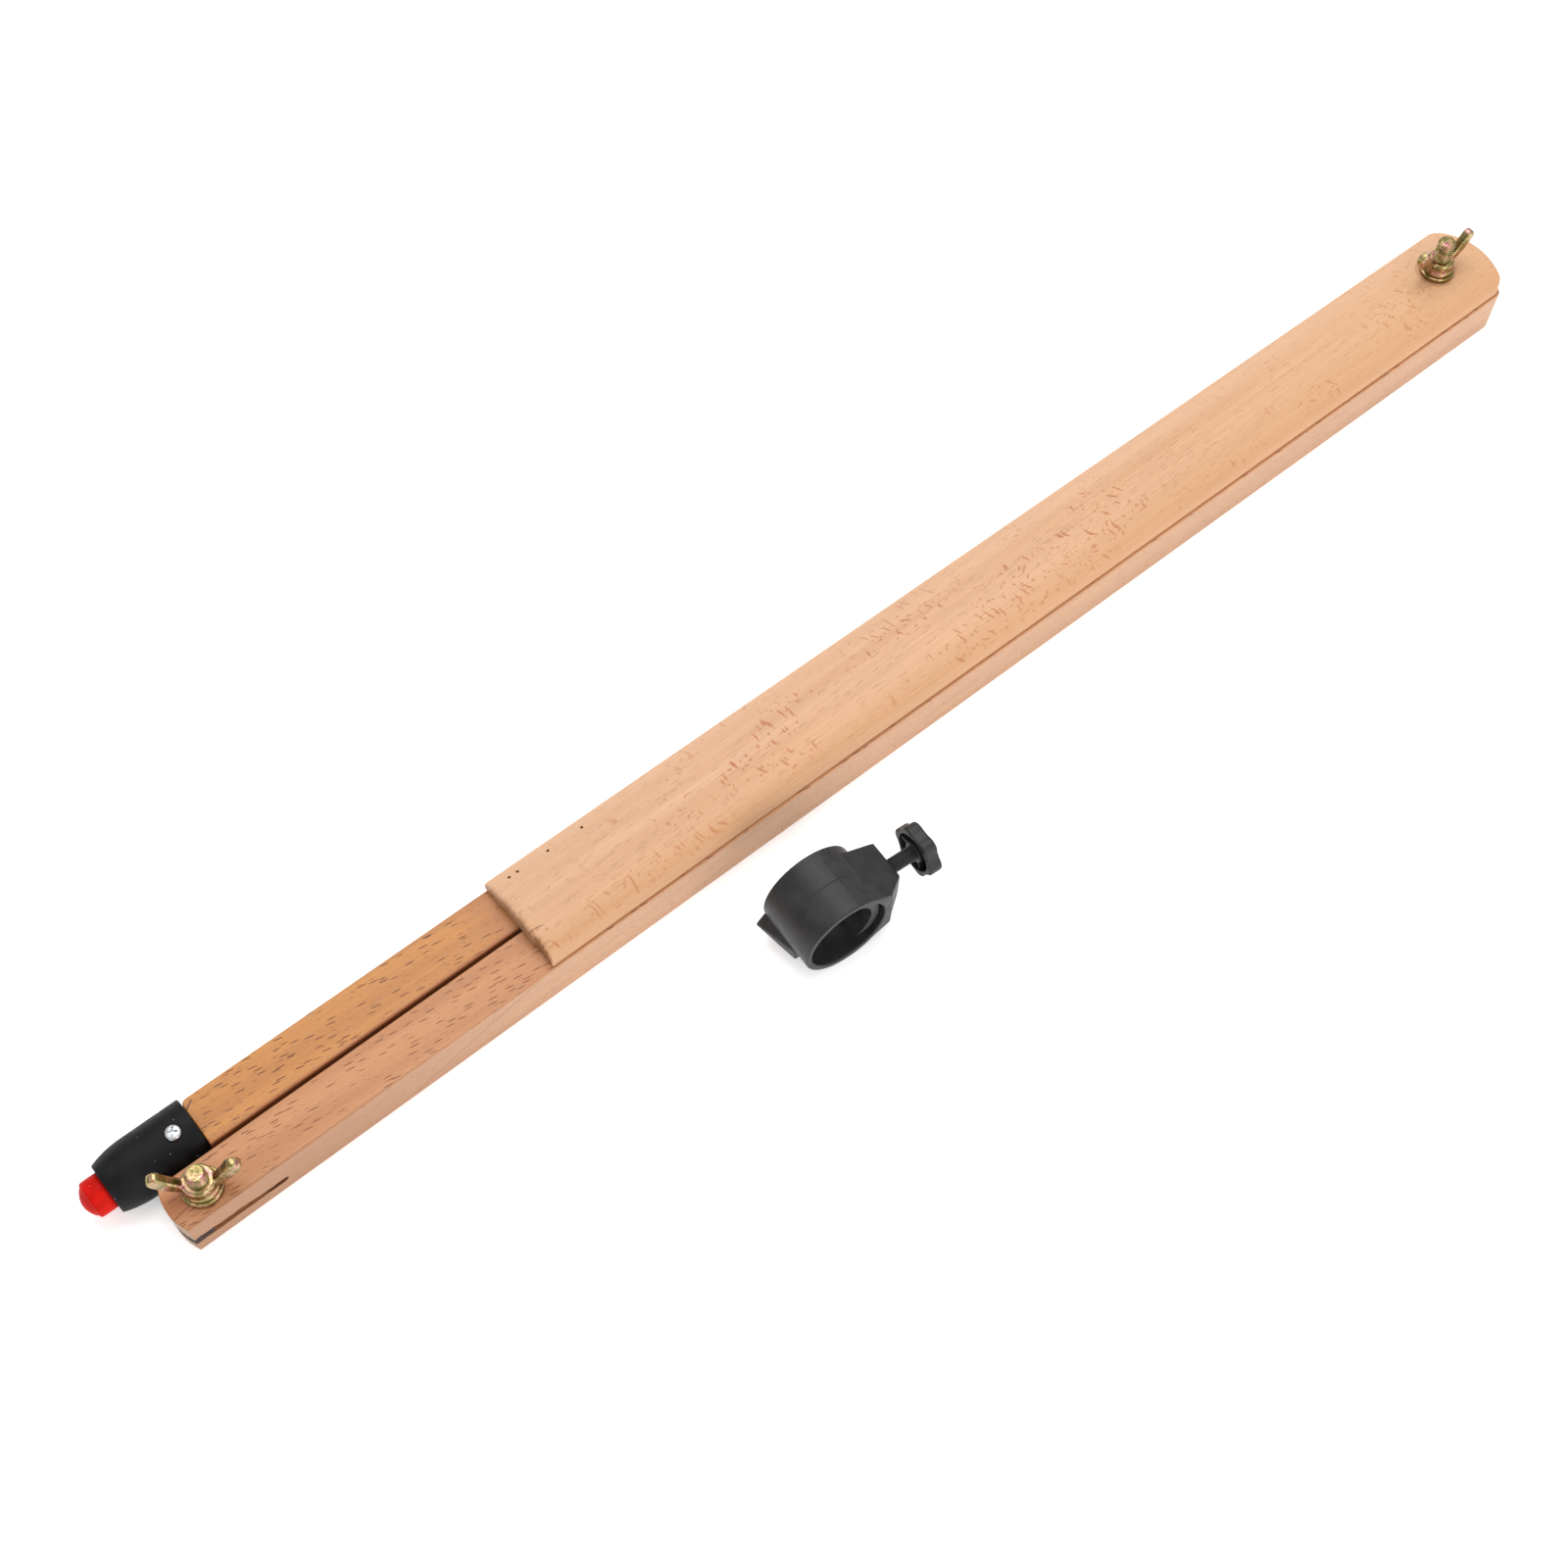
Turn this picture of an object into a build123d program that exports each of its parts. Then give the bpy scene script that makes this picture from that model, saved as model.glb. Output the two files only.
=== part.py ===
"""A large wooden compass with a wing-nut pivot, a sawn clamp jaw, a rubber foot and a loose pen ring.

X runs along the legs toward the pivot, Y across them and Z up. The origin is the middle of the clamp
leg's flat underside, so everything stands on z = 0. All sizes are millimetres.
"""

from build123d import *
import math
import os

os.makedirs("parts", exist_ok=True)

# Legs and board
LEG_WIDTH = 16.0
LEG_HEIGHT = 16.0
LEG_HALF_LENGTH = 272.4
LEG_GAP = 1.2
BOARD_GAP = 0.3
BOARD_SETBACK = 123.9
BOARD_BACK_OVERHANG = 0.8
BOARD_FRONT_INSET = 0.9
BOARD_CROWN = 6.3
END_BOW = 4.2
END_CORNER = 4.0
TIP_BOW = 1.8
ARRIS = 0.8

# Pivot
PIVOT_INSET = 20.2
PIVOT_SIDESTEP = 1.35
KNUCKLE_RELIEF = 0.3
KNUCKLE_GAP = 0.4

# M6 hardware
BOLT_DIAMETER = 6.0
BOLT_HOLE_CLEARANCE = 0.3
HEAD_HEIGHT = 2.2
HEAD_RECESS = 2.4
CLAMP_HEAD_DIAMETER = 12.0
PIVOT_HEAD_DIAMETER = 13.4
HEAD_CLEARANCE = 0.4
NECK_HEIGHT = 2.0
NECK_CLEARANCE = 0.1
PIVOT_BOLT_PROUD = 7.6
CLAMP_BOLT_PROUD = 4.2
WASHER_OUTER = 12.0
WASHER_BORE_CLEARANCE = 0.2
WASHER_THICK = 1.6
WASHER_SUNK = 0.3
NUT_BASE_RADIUS = 5.3
NUT_TOP_RADIUS = 4.6
NUT_HUB_HEIGHT = 5.2
NUT_SPAN = 24.4
NUT_HEIGHT = 12.6
WING_THICK = 3.0
THREAD_FIT = 0.05
PIVOT_NUT_ANGLE = -5.0
CLAMP_NUT_ANGLE = -27.0

# Clamp jaw
CLAMP_INSET = 11.3
JAW_BOTTOM = 4.9
JAW_OPENING = 3.3
JAW_DEPTH = 32.0

# Foot
FERRULE_MOUTH_INSET = 19.5
FERRULE_LENGTH = 28.5
FERRULE_RADIUS = 9.5
NOSE_RADIUS = 7.7
TAPER_LENGTH = 10.0
FERRULE_LEG_CLEARANCE = 1.6
TENON_RADIUS = 6.0
TENON_LENGTH = 19.0
TENON_FIT = 0.05
TIP_RADIUS = 5.7
TIP_LENGTH = 7.6
TIP_DOME = 2.1
STEM_RADIUS = 3.9
STEM_LENGTH = 7.5
STEM_FIT = 0.1
SCREW_BACK = 6.2
SCREW_SIDESTEP = 1.7
SCREW_HEAD_RADIUS = 2.4
SCREW_HEAD_HEIGHT = 1.6
SCREW_SUNK = 1.1
SCREW_SHANK_RADIUS = 1.2
SCREW_LENGTH = 10.0

# Brads through the board
BRAD_SPACING = [6.6, 9.6, 20.6, 33.1]
BRAD_INSET = 3.7
BRAD_RADIUS = 0.45
BRAD_SUNK = 2.9
BRAD_LENGTH = 11.0

# Pen ring, lying beside the legs
RING_AHEAD = 73.1
RING_ASIDE = 45.2
RING_YAW = -4.4
RING_RADIUS = 15.2
RING_WALL = 2.1
RING_LENGTH = 22.0
BOSS_PROUD = 7.4
BOSS_HALF = 5.2
BOSS_REAR = 18.7
BOSS_FRONT = 5.6
RING_FOOT_PROUD = 2.5
RING_FOOT_TAPER = 2.9
RING_FOOT_DROP = 8.9
RING_FOOT_TOE = 1.0
RING_FOOT_FRONT = 6.0
STUD_DEPTH = 11.3
STUD_RADIUS = 2.5
PAD_RETREAT = 0.7
PAD_THICK = 2.9
PAD_SEAT_DEPTH = 1.4
PAD_HALF = 8.4
PAD_LENGTH = 19.0
PAD_SEAT_CLEARANCE = 0.15
KNOB_STANDOFF = 9.2
KNOB_THICK = 4.6
KNOB_CORE = 8.0
KNOB_LOBE = 3.0
KNOB_LOBE_RING = 6.1
KNOB_HUB = 3.6
KNOB_RIM = 6.7
KNOB_POCKET = 3.2

# Positions that follow from the sizes above
board_floor = LEG_HEIGHT + BOARD_GAP
head_y = -LEG_WIDTH / 2
slim_y = LEG_WIDTH / 2
foot_near = LEG_WIDTH / 2 + LEG_GAP
foot_far = foot_near + LEG_WIDTH
board_front = -LEG_WIDTH / 2 + BOARD_FRONT_INSET
board_back = foot_far + BOARD_BACK_OVERHANG
board_mid = (board_front + board_back) / 2
board_top = board_floor + BOARD_CROWN
pivot_x = LEG_HALF_LENGTH - PIVOT_INSET
clamp_x = -LEG_HALF_LENGTH + CLAMP_INSET
pivot_y = board_mid + PIVOT_SIDESTEP
neck_side = BOLT_DIAMETER
washer_inner = BOLT_DIAMETER + 2 * WASHER_BORE_CLEARANCE
washer_seat = board_top - WASHER_SUNK
end_shoulder = LEG_HALF_LENGTH - END_BOW
knuckle_radius = math.hypot(end_shoulder - pivot_x, pivot_y - head_y) - KNUCKLE_RELIEF
pivot_bolt_top = washer_seat + WASHER_THICK + NUT_HUB_HEIGHT + PIVOT_BOLT_PROUD
clamp_bolt_top = LEG_HEIGHT + WASHER_THICK + NUT_HUB_HEIGHT + CLAMP_BOLT_PROUD
board_left = -LEG_HALF_LENGTH + BOARD_SETBACK
brad_places = [(board_left + step, board_back - BRAD_INSET) for step in BRAD_SPACING]
brad_top = board_top - BRAD_SUNK
ferrule_mouth = -LEG_HALF_LENGTH + FERRULE_MOUTH_INSET
nose_x = ferrule_mouth - FERRULE_LENGTH
foot_axis_y = slim_y + FERRULE_LEG_CLEARANCE + FERRULE_RADIUS
foot_axis_z = FERRULE_RADIUS
screw_place = (ferrule_mouth - SCREW_BACK, foot_axis_y - SCREW_SIDESTEP)
screw_seat = foot_axis_z + FERRULE_RADIUS - SCREW_SUNK
ring_x = board_left + RING_AHEAD
ring_y = head_y - RING_ASIDE
bore_radius = RING_RADIUS - RING_WALL
boss_reach = RING_RADIUS + BOSS_PROUD
ring_foot_reach = RING_RADIUS + RING_FOOT_PROUD
pad_outer = bore_radius - PAD_RETREAT
pad_inner = pad_outer - PAD_THICK
stud_tip = pad_outer - PAD_SEAT_DEPTH
knob_near = boss_reach + KNOB_STANDOFF


def knuckle_x(radius, y):
    """X of the knuckle arc of this radius at this y, on the side toward the legs."""
    return pivot_x - math.sqrt(radius ** 2 - (y - pivot_y) ** 2)


def knuckle_point(radius, y_low, y_high):
    """A point half-way round the knuckle arc between two values of y."""
    low = math.asin((y_low - pivot_y) / radius)
    high = math.asin((y_high - pivot_y) / radius)
    middle = (low + high) / 2
    return (pivot_x - radius * math.cos(middle), pivot_y + radius * math.sin(middle))


# Clamp leg: slim leg, sawn jaw and a full-width rounded head round the pivot
with BuildPart() as clamp_leg:
    with BuildSketch(Plane.XY):
        with BuildLine():
            Line((-LEG_HALF_LENGTH + TIP_BOW, slim_y), (knuckle_x(knuckle_radius, slim_y), slim_y))
            ThreePointArc(
                (knuckle_x(knuckle_radius, slim_y), slim_y),
                knuckle_point(knuckle_radius, slim_y, foot_far),
                (knuckle_x(knuckle_radius, foot_far), foot_far),
            )
            Line((knuckle_x(knuckle_radius, foot_far), foot_far), (end_shoulder, foot_far))
            ThreePointArc((end_shoulder, foot_far), (LEG_HALF_LENGTH, board_mid), (end_shoulder, head_y))
            Line((end_shoulder, head_y), (-LEG_HALF_LENGTH + TIP_BOW, head_y))
            ThreePointArc(
                (-LEG_HALF_LENGTH + TIP_BOW, head_y),
                (-LEG_HALF_LENGTH, 0),
                (-LEG_HALF_LENGTH + TIP_BOW, slim_y),
            )
        make_face()
    extrude(amount=LEG_HEIGHT)
    far_edges = clamp_leg.edges().filter_by(Axis.Z).group_by(Axis.X)[-1]
    fillet(far_edges, radius=END_CORNER)
    with BuildSketch(Plane.XZ.offset(-slim_y - 1)):
        with Locations((-LEG_HALF_LENGTH - 1, JAW_BOTTOM)):
            Rectangle(JAW_DEPTH + 1, JAW_OPENING, align=(Align.MIN, Align.MIN))
    extrude(amount=LEG_WIDTH + 2, mode=Mode.SUBTRACT)
    with BuildSketch(Plane.XY):
        with Locations((pivot_x, pivot_y)):
            Circle(PIVOT_HEAD_DIAMETER / 2 + HEAD_CLEARANCE)
        with Locations((clamp_x, 0)):
            Circle(CLAMP_HEAD_DIAMETER / 2 + HEAD_CLEARANCE)
    extrude(amount=HEAD_RECESS, mode=Mode.SUBTRACT)
    with BuildSketch(Plane.XY):
        with Locations((pivot_x, pivot_y), (clamp_x, 0)):
            Rectangle(neck_side + 2 * NECK_CLEARANCE, neck_side + 2 * NECK_CLEARANCE)
    extrude(amount=HEAD_RECESS + NECK_HEIGHT + NECK_CLEARANCE, mode=Mode.SUBTRACT)
    with BuildSketch(Plane.XY):
        with Locations((pivot_x, pivot_y), (clamp_x, 0)):
            Circle(BOLT_DIAMETER / 2 + BOLT_HOLE_CLEARANCE)
    extrude(amount=LEG_HEIGHT, mode=Mode.SUBTRACT)
clamp_leg.part.label = "clamp_leg"
export_step(clamp_leg.part, "parts/clamp_leg.step")

# Foot leg: square leg, concave knuckle end and a turned tenon for the ferrule
foot_knuckle = knuckle_radius + KNUCKLE_GAP
with BuildPart() as foot_leg:
    with BuildSketch(Plane.XY):
        with BuildLine():
            Line((ferrule_mouth, foot_near), (knuckle_x(foot_knuckle, foot_near), foot_near))
            ThreePointArc(
                (knuckle_x(foot_knuckle, foot_near), foot_near),
                knuckle_point(foot_knuckle, foot_near, foot_far),
                (knuckle_x(foot_knuckle, foot_far), foot_far),
            )
            Line((knuckle_x(foot_knuckle, foot_far), foot_far), (ferrule_mouth, foot_far))
            Line((ferrule_mouth, foot_far), (ferrule_mouth, foot_near))
        make_face()
    extrude(amount=board_floor)
    chamfer(foot_leg.edges().filter_by(Axis.X).group_by(Axis.Z)[0], length=ARRIS)
    with BuildSketch(Plane.YZ.offset(ferrule_mouth)):
        with Locations((foot_axis_y, foot_axis_z)):
            Circle(TENON_RADIUS)
    extrude(amount=-TENON_LENGTH)
    with BuildSketch(Plane.XY.offset(screw_seat)):
        with Locations(screw_place):
            Circle(SCREW_SHANK_RADIUS + STEM_FIT)
    extrude(amount=-SCREW_LENGTH, mode=Mode.SUBTRACT)
    with BuildSketch(Plane.XY.offset(board_floor)):
        with Locations(*brad_places):
            Circle(BRAD_RADIUS + STEM_FIT)
    extrude(amount=-(BRAD_LENGTH - brad_top + board_floor), mode=Mode.SUBTRACT)
foot_leg.part.label = "foot_leg"
export_step(foot_leg.part, "parts/foot_leg.step")

# Handle board: cambered section, bowed far end, bolt hole with a flat for the washer
with BuildPart() as handle_board:
    with BuildSketch(Plane.YZ.offset(board_left)):
        with BuildLine():
            Line((board_front, board_floor), (board_back, board_floor))
            Line((board_back, board_floor), (board_back, board_top - 3.0))
            ThreePointArc(
                (board_back, board_top - 3.0),
                (board_mid, board_top),
                (board_front + 4.4, board_top - 1.1),
            )
            ThreePointArc(
                (board_front + 4.4, board_top - 1.1),
                (board_front + 1.3, board_top - 2.9),
                (board_front, board_floor + 0.6),
            )
            Line((board_front, board_floor + 0.6), (board_front, board_floor))
        make_face()
    extrude(amount=LEG_HALF_LENGTH - board_left)
    with BuildSketch(Plane.XY.offset(board_floor - 1)):
        with BuildLine():
            Line((board_left - 1, board_front - 1), (board_left - 1, board_back + 1))
            Line((board_left - 1, board_back + 1), (end_shoulder, board_back + 1))
            ThreePointArc(
                (end_shoulder, board_back + 1),
                (LEG_HALF_LENGTH, board_mid),
                (end_shoulder, board_front - 1),
            )
            Line((end_shoulder, board_front - 1), (board_left - 1, board_front - 1))
        make_face()
    extrude(amount=BOARD_CROWN + 2, mode=Mode.INTERSECT)
    with BuildSketch(Plane.XY.offset(board_floor)):
        with Locations((pivot_x, pivot_y)):
            Circle(BOLT_DIAMETER / 2 + BOLT_HOLE_CLEARANCE)
    extrude(amount=BOARD_CROWN, mode=Mode.SUBTRACT)
    with BuildSketch(Plane.XY.offset(washer_seat)):
        with Locations((pivot_x, pivot_y)):
            Circle(WASHER_OUTER / 2 + BOLT_HOLE_CLEARANCE)
    extrude(amount=BOARD_CROWN, mode=Mode.SUBTRACT)
    with BuildSketch(Plane.XY.offset(board_floor)):
        with Locations(*brad_places):
            Circle(BRAD_RADIUS + STEM_FIT)
    extrude(amount=BOARD_CROWN, mode=Mode.SUBTRACT)
handle_board.part.label = "handle_board"
export_step(handle_board.part, "parts/handle_board.step")

# Brads that hold the board while its glue sets
with BuildPart() as board_brads:
    with BuildSketch(Plane.XY.offset(brad_top)):
        with Locations(*brad_places):
            Circle(BRAD_RADIUS)
    extrude(amount=-BRAD_LENGTH)
board_brads.part.label = "board_brads"
export_step(board_brads.part, "parts/board_brads.step")

# Pivot bolt: mushroom head, square neck and plain shank
with BuildPart() as pivot_bolt:
    with BuildSketch(Plane.XY.offset(HEAD_RECESS - HEAD_HEIGHT)):
        with Locations((pivot_x, pivot_y)):
            Circle(PIVOT_HEAD_DIAMETER / 2)
    extrude(amount=HEAD_HEIGHT)
    fillet(pivot_bolt.edges().group_by(Axis.Z)[0], radius=HEAD_HEIGHT * 0.7)
    with BuildSketch(Plane.XY.offset(HEAD_RECESS)):
        with Locations((pivot_x, pivot_y)):
            Rectangle(neck_side, neck_side)
    extrude(amount=NECK_HEIGHT)
    with BuildSketch(Plane.XY.offset(HEAD_RECESS)):
        with Locations((pivot_x, pivot_y)):
            Circle(BOLT_DIAMETER / 2)
    extrude(amount=pivot_bolt_top - HEAD_RECESS)
    chamfer(pivot_bolt.edges().group_by(Axis.Z)[-1], length=0.6)
pivot_bolt.part.label = "pivot_bolt"
export_step(pivot_bolt.part, "parts/pivot_bolt.step")

# Clamp bolt: the same bolt, shorter, through both jaws
with BuildPart() as clamp_bolt:
    with BuildSketch(Plane.XY.offset(HEAD_RECESS - HEAD_HEIGHT)):
        with Locations((clamp_x, 0)):
            Circle(CLAMP_HEAD_DIAMETER / 2)
    extrude(amount=HEAD_HEIGHT)
    fillet(clamp_bolt.edges().group_by(Axis.Z)[0], radius=HEAD_HEIGHT * 0.7)
    with BuildSketch(Plane.XY.offset(HEAD_RECESS)):
        with Locations((clamp_x, 0)):
            Rectangle(neck_side, neck_side)
    extrude(amount=NECK_HEIGHT)
    with BuildSketch(Plane.XY.offset(HEAD_RECESS)):
        with Locations((clamp_x, 0)):
            Circle(BOLT_DIAMETER / 2)
    extrude(amount=clamp_bolt_top - HEAD_RECESS)
    chamfer(clamp_bolt.edges().group_by(Axis.Z)[-1], length=0.6)
clamp_bolt.part.label = "clamp_bolt"
export_step(clamp_bolt.part, "parts/clamp_bolt.step")

# Washers
with BuildPart() as pivot_washer:
    with BuildSketch(Plane.XY.offset(washer_seat)):
        with Locations((pivot_x, pivot_y)):
            Circle(WASHER_OUTER / 2)
            Circle(washer_inner / 2, mode=Mode.SUBTRACT)
    extrude(amount=WASHER_THICK)
pivot_washer.part.label = "pivot_washer"
export_step(pivot_washer.part, "parts/pivot_washer.step")

with BuildPart() as clamp_washer:
    with BuildSketch(Plane.XY.offset(LEG_HEIGHT)):
        with Locations((clamp_x, 0)):
            Circle(WASHER_OUTER / 2)
            Circle(washer_inner / 2, mode=Mode.SUBTRACT)
    extrude(amount=WASHER_THICK)
clamp_washer.part.label = "clamp_washer"
export_step(clamp_washer.part, "parts/clamp_washer.step")

# Wing nuts: tapered hub and two rising wings
nut_places = {
    "pivot_wing_nut": (pivot_x, pivot_y, washer_seat + WASHER_THICK, PIVOT_NUT_ANGLE),
    "clamp_wing_nut": (clamp_x, 0, LEG_HEIGHT + WASHER_THICK, CLAMP_NUT_ANGLE),
}
for nut_label, (nut_x, nut_y, nut_z, nut_angle) in nut_places.items():
    turn = math.radians(nut_angle)
    span_way = (math.cos(turn), math.sin(turn), 0)
    nut_base = Plane(origin=(nut_x, nut_y, nut_z), x_dir=span_way, z_dir=(0, 0, 1))
    nut_upright = Plane(
        origin=(nut_x, nut_y, nut_z),
        x_dir=span_way,
        z_dir=(math.sin(turn), -math.cos(turn), 0),
    )
    with BuildPart() as wing_nut:
        with BuildSketch(nut_base):
            Circle(NUT_BASE_RADIUS)
        with BuildSketch(nut_base.offset(NUT_HUB_HEIGHT)):
            Circle(NUT_TOP_RADIUS)
        loft()
        with BuildSketch(nut_upright):
            for side in (-1, 1):
                with BuildLine():
                    Polyline(
                        (side * 3.4, 0.8),
                        (side * 6.0, 1.6),
                        (side * NUT_SPAN / 2, NUT_HEIGHT - 4.4),
                        (side * NUT_SPAN / 2, NUT_HEIGHT - 1.0),
                        (side * (NUT_SPAN / 2 - 1.0), NUT_HEIGHT),
                        (side * (NUT_SPAN / 2 - 3.2), NUT_HEIGHT - 0.6),
                        (side * 3.4, NUT_HUB_HEIGHT - 0.3),
                        close=True,
                    )
                make_face()
        extrude(amount=WING_THICK / 2, both=True)
        with BuildSketch(nut_base):
            Circle(BOLT_DIAMETER / 2 + THREAD_FIT)
        extrude(amount=NUT_HEIGHT, mode=Mode.SUBTRACT)
    wing_nut.part.label = nut_label
    export_step(wing_nut.part, "parts/" + nut_label + ".step")

# Ferrule: turned outside, tenon socket from the mouth and a bore for the tip's stem
with BuildPart() as foot_ferrule:
    with BuildSketch(Plane.XZ.offset(-foot_axis_y)):
        with BuildLine():
            Line((ferrule_mouth, foot_axis_z), (ferrule_mouth, foot_axis_z + FERRULE_RADIUS))
            Line(
                (ferrule_mouth, foot_axis_z + FERRULE_RADIUS),
                (nose_x + TAPER_LENGTH, foot_axis_z + FERRULE_RADIUS),
            )
            TangentArc(
                (nose_x + TAPER_LENGTH, foot_axis_z + FERRULE_RADIUS),
                (nose_x, foot_axis_z + NOSE_RADIUS),
                tangent=(-1, 0),
            )
            Line((nose_x, foot_axis_z + NOSE_RADIUS), (nose_x, foot_axis_z))
            Line((nose_x, foot_axis_z), (ferrule_mouth, foot_axis_z))
        make_face()
    revolve(axis=Axis((0, foot_axis_y, foot_axis_z), (1, 0, 0)))
    with BuildSketch(Plane.YZ.offset(ferrule_mouth)):
        with Locations((foot_axis_y, foot_axis_z)):
            Circle(TENON_RADIUS + TENON_FIT)
    extrude(amount=-TENON_LENGTH - STEM_FIT, mode=Mode.SUBTRACT)
    with BuildSketch(Plane.YZ.offset(nose_x)):
        with Locations((foot_axis_y, foot_axis_z)):
            Circle(STEM_RADIUS + STEM_FIT)
    extrude(amount=FERRULE_LENGTH - TENON_LENGTH, mode=Mode.SUBTRACT)
    with BuildSketch(Plane.XY.offset(screw_seat)):
        with Locations(screw_place):
            Circle(SCREW_HEAD_RADIUS + STEM_FIT)
    extrude(amount=FERRULE_RADIUS, mode=Mode.SUBTRACT)
    with BuildSketch(Plane.XY.offset(foot_axis_z)):
        with Locations(screw_place):
            Circle(SCREW_SHANK_RADIUS + STEM_FIT)
    extrude(amount=FERRULE_RADIUS, mode=Mode.SUBTRACT)
foot_ferrule.part.label = "foot_ferrule"
export_step(foot_ferrule.part, "parts/foot_ferrule.step")

# Ferrule screw: pan head with a cross recess
with BuildPart() as ferrule_screw:
    with BuildSketch(Plane.XY.offset(screw_seat)):
        with Locations(screw_place):
            Circle(SCREW_HEAD_RADIUS)
    extrude(amount=SCREW_HEAD_HEIGHT)
    fillet(ferrule_screw.edges().group_by(Axis.Z)[-1], radius=SCREW_HEAD_HEIGHT * 0.6)
    with BuildSketch(Plane.XY.offset(screw_seat)):
        with Locations(screw_place):
            Circle(SCREW_SHANK_RADIUS)
    extrude(amount=-SCREW_LENGTH + STEM_FIT)
    with BuildSketch(Plane.XY.offset(screw_seat + SCREW_HEAD_HEIGHT)):
        with Locations(screw_place):
            Rectangle(SCREW_HEAD_RADIUS * 1.1, 0.6)
            Rectangle(0.6, SCREW_HEAD_RADIUS * 1.1)
    extrude(amount=-SCREW_HEAD_HEIGHT * 0.6, mode=Mode.SUBTRACT)
ferrule_screw.part.label = "ferrule_screw"
export_step(ferrule_screw.part, "parts/ferrule_screw.step")

# Rubber tip: domed button with a stem
with BuildPart() as foot_tip:
    with BuildSketch(Plane.XZ.offset(-foot_axis_y)):
        with BuildLine():
            Line((nose_x + STEM_LENGTH, foot_axis_z), (nose_x + STEM_LENGTH, foot_axis_z + STEM_RADIUS))
            Line((nose_x + STEM_LENGTH, foot_axis_z + STEM_RADIUS), (nose_x, foot_axis_z + STEM_RADIUS))
            Line((nose_x, foot_axis_z + STEM_RADIUS), (nose_x, foot_axis_z + TIP_RADIUS))
            Line(
                (nose_x, foot_axis_z + TIP_RADIUS),
                (nose_x - TIP_LENGTH + TIP_DOME, foot_axis_z + TIP_RADIUS),
            )
            RadiusArc(
                (nose_x - TIP_LENGTH + TIP_DOME, foot_axis_z + TIP_RADIUS),
                (nose_x - TIP_LENGTH, foot_axis_z),
                -(TIP_RADIUS ** 2 + TIP_DOME ** 2) / (2 * TIP_DOME),
            )
            Line((nose_x - TIP_LENGTH, foot_axis_z), (nose_x + STEM_LENGTH, foot_axis_z))
        make_face()
    revolve(axis=Axis((0, foot_axis_y, foot_axis_z), (1, 0, 0)))
foot_tip.part.label = "foot_tip"
export_step(foot_tip.part, "parts/foot_tip.step")

# Pen ring frame: x along the ring's screw, z along the ring's axis away from its front face
yaw = math.radians(RING_YAW)
screw_way = (math.cos(yaw), math.sin(yaw), 0)
rear_way = (-math.sin(yaw), math.cos(yaw), 0)
ring_front = Plane(origin=(ring_x, ring_y, RING_RADIUS), x_dir=screw_way, z_dir=rear_way)
ring_side = Plane(origin=(ring_x, ring_y, RING_RADIUS), x_dir=screw_way, z_dir=(0, 0, 1))
stud_origin = ring_front.from_local_coords(Vector(0, 0, STUD_DEPTH))
stud_plane = Plane(origin=stud_origin, x_dir=rear_way, z_dir=screw_way)

with BuildPart() as pen_ring:
    with BuildSketch(ring_front):
        Circle(RING_RADIUS)
    extrude(amount=RING_LENGTH)
    with BuildSketch(ring_front):
        Polygon(
            (4.0, -RING_RADIUS * 0.96),
            (boss_reach, -BOSS_HALF),
            (boss_reach, BOSS_HALF),
            (4.0, RING_RADIUS * 0.96),
            align=None,
        )
    extrude(amount=BOSS_REAR)
    with BuildSketch(ring_side):
        Polygon(
            (RING_RADIUS, -1.0),
            (boss_reach + 1.0, -1.0),
            (boss_reach + 1.0, BOSS_FRONT + 0.7),
            (RING_RADIUS, 0.0),
            align=None,
        )
    extrude(amount=RING_RADIUS, both=True, mode=Mode.SUBTRACT)
    with BuildSketch(ring_side):
        Polygon(
            (-RING_RADIUS * 0.7, RING_FOOT_FRONT),
            (-(ring_foot_reach - RING_FOOT_TAPER), RING_FOOT_FRONT),
            (-ring_foot_reach, RING_LENGTH),
            (-RING_RADIUS * 0.7, RING_LENGTH),
            align=None,
        )
    extrude(amount=-RING_FOOT_DROP)
    with BuildSketch(ring_front):
        Polygon(
            (-ring_foot_reach, RING_FOOT_TOE - RING_FOOT_DROP),
            (-RING_RADIUS * 0.7, 0),
            (-ring_foot_reach, 0),
            align=None,
        )
        Circle(RING_RADIUS, mode=Mode.SUBTRACT)
    extrude(amount=RING_LENGTH, mode=Mode.SUBTRACT)
    with BuildSketch(ring_front):
        Circle(bore_radius)
    extrude(amount=RING_LENGTH, mode=Mode.SUBTRACT)
    with BuildSketch(stud_plane):
        Circle(STUD_RADIUS + THREAD_FIT)
    extrude(amount=boss_reach + 1.0, mode=Mode.SUBTRACT)
pen_ring.part.label = "pen_ring"
export_step(pen_ring.part, "parts/pen_ring.step")

# Pressure pad: a crescent held just clear of the bore, with a blind seat for the screw
pad_start = ring_front.offset(STUD_DEPTH - PAD_LENGTH / 2)
with BuildPart() as ring_pad:
    with BuildSketch(pad_start):
        Circle(pad_outer)
        Circle(pad_inner, mode=Mode.SUBTRACT)
        with Locations((pad_outer, 0)):
            Rectangle(pad_outer, 2 * PAD_HALF, mode=Mode.INTERSECT)
    extrude(amount=PAD_LENGTH)
    with BuildSketch(stud_plane.offset(stud_tip - PAD_SEAT_CLEARANCE)):
        Circle(STUD_RADIUS + PAD_SEAT_CLEARANCE)
    extrude(amount=pad_outer, mode=Mode.SUBTRACT)
ring_pad.part.label = "ring_pad"
export_step(ring_pad.part, "parts/ring_pad.step")

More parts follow.
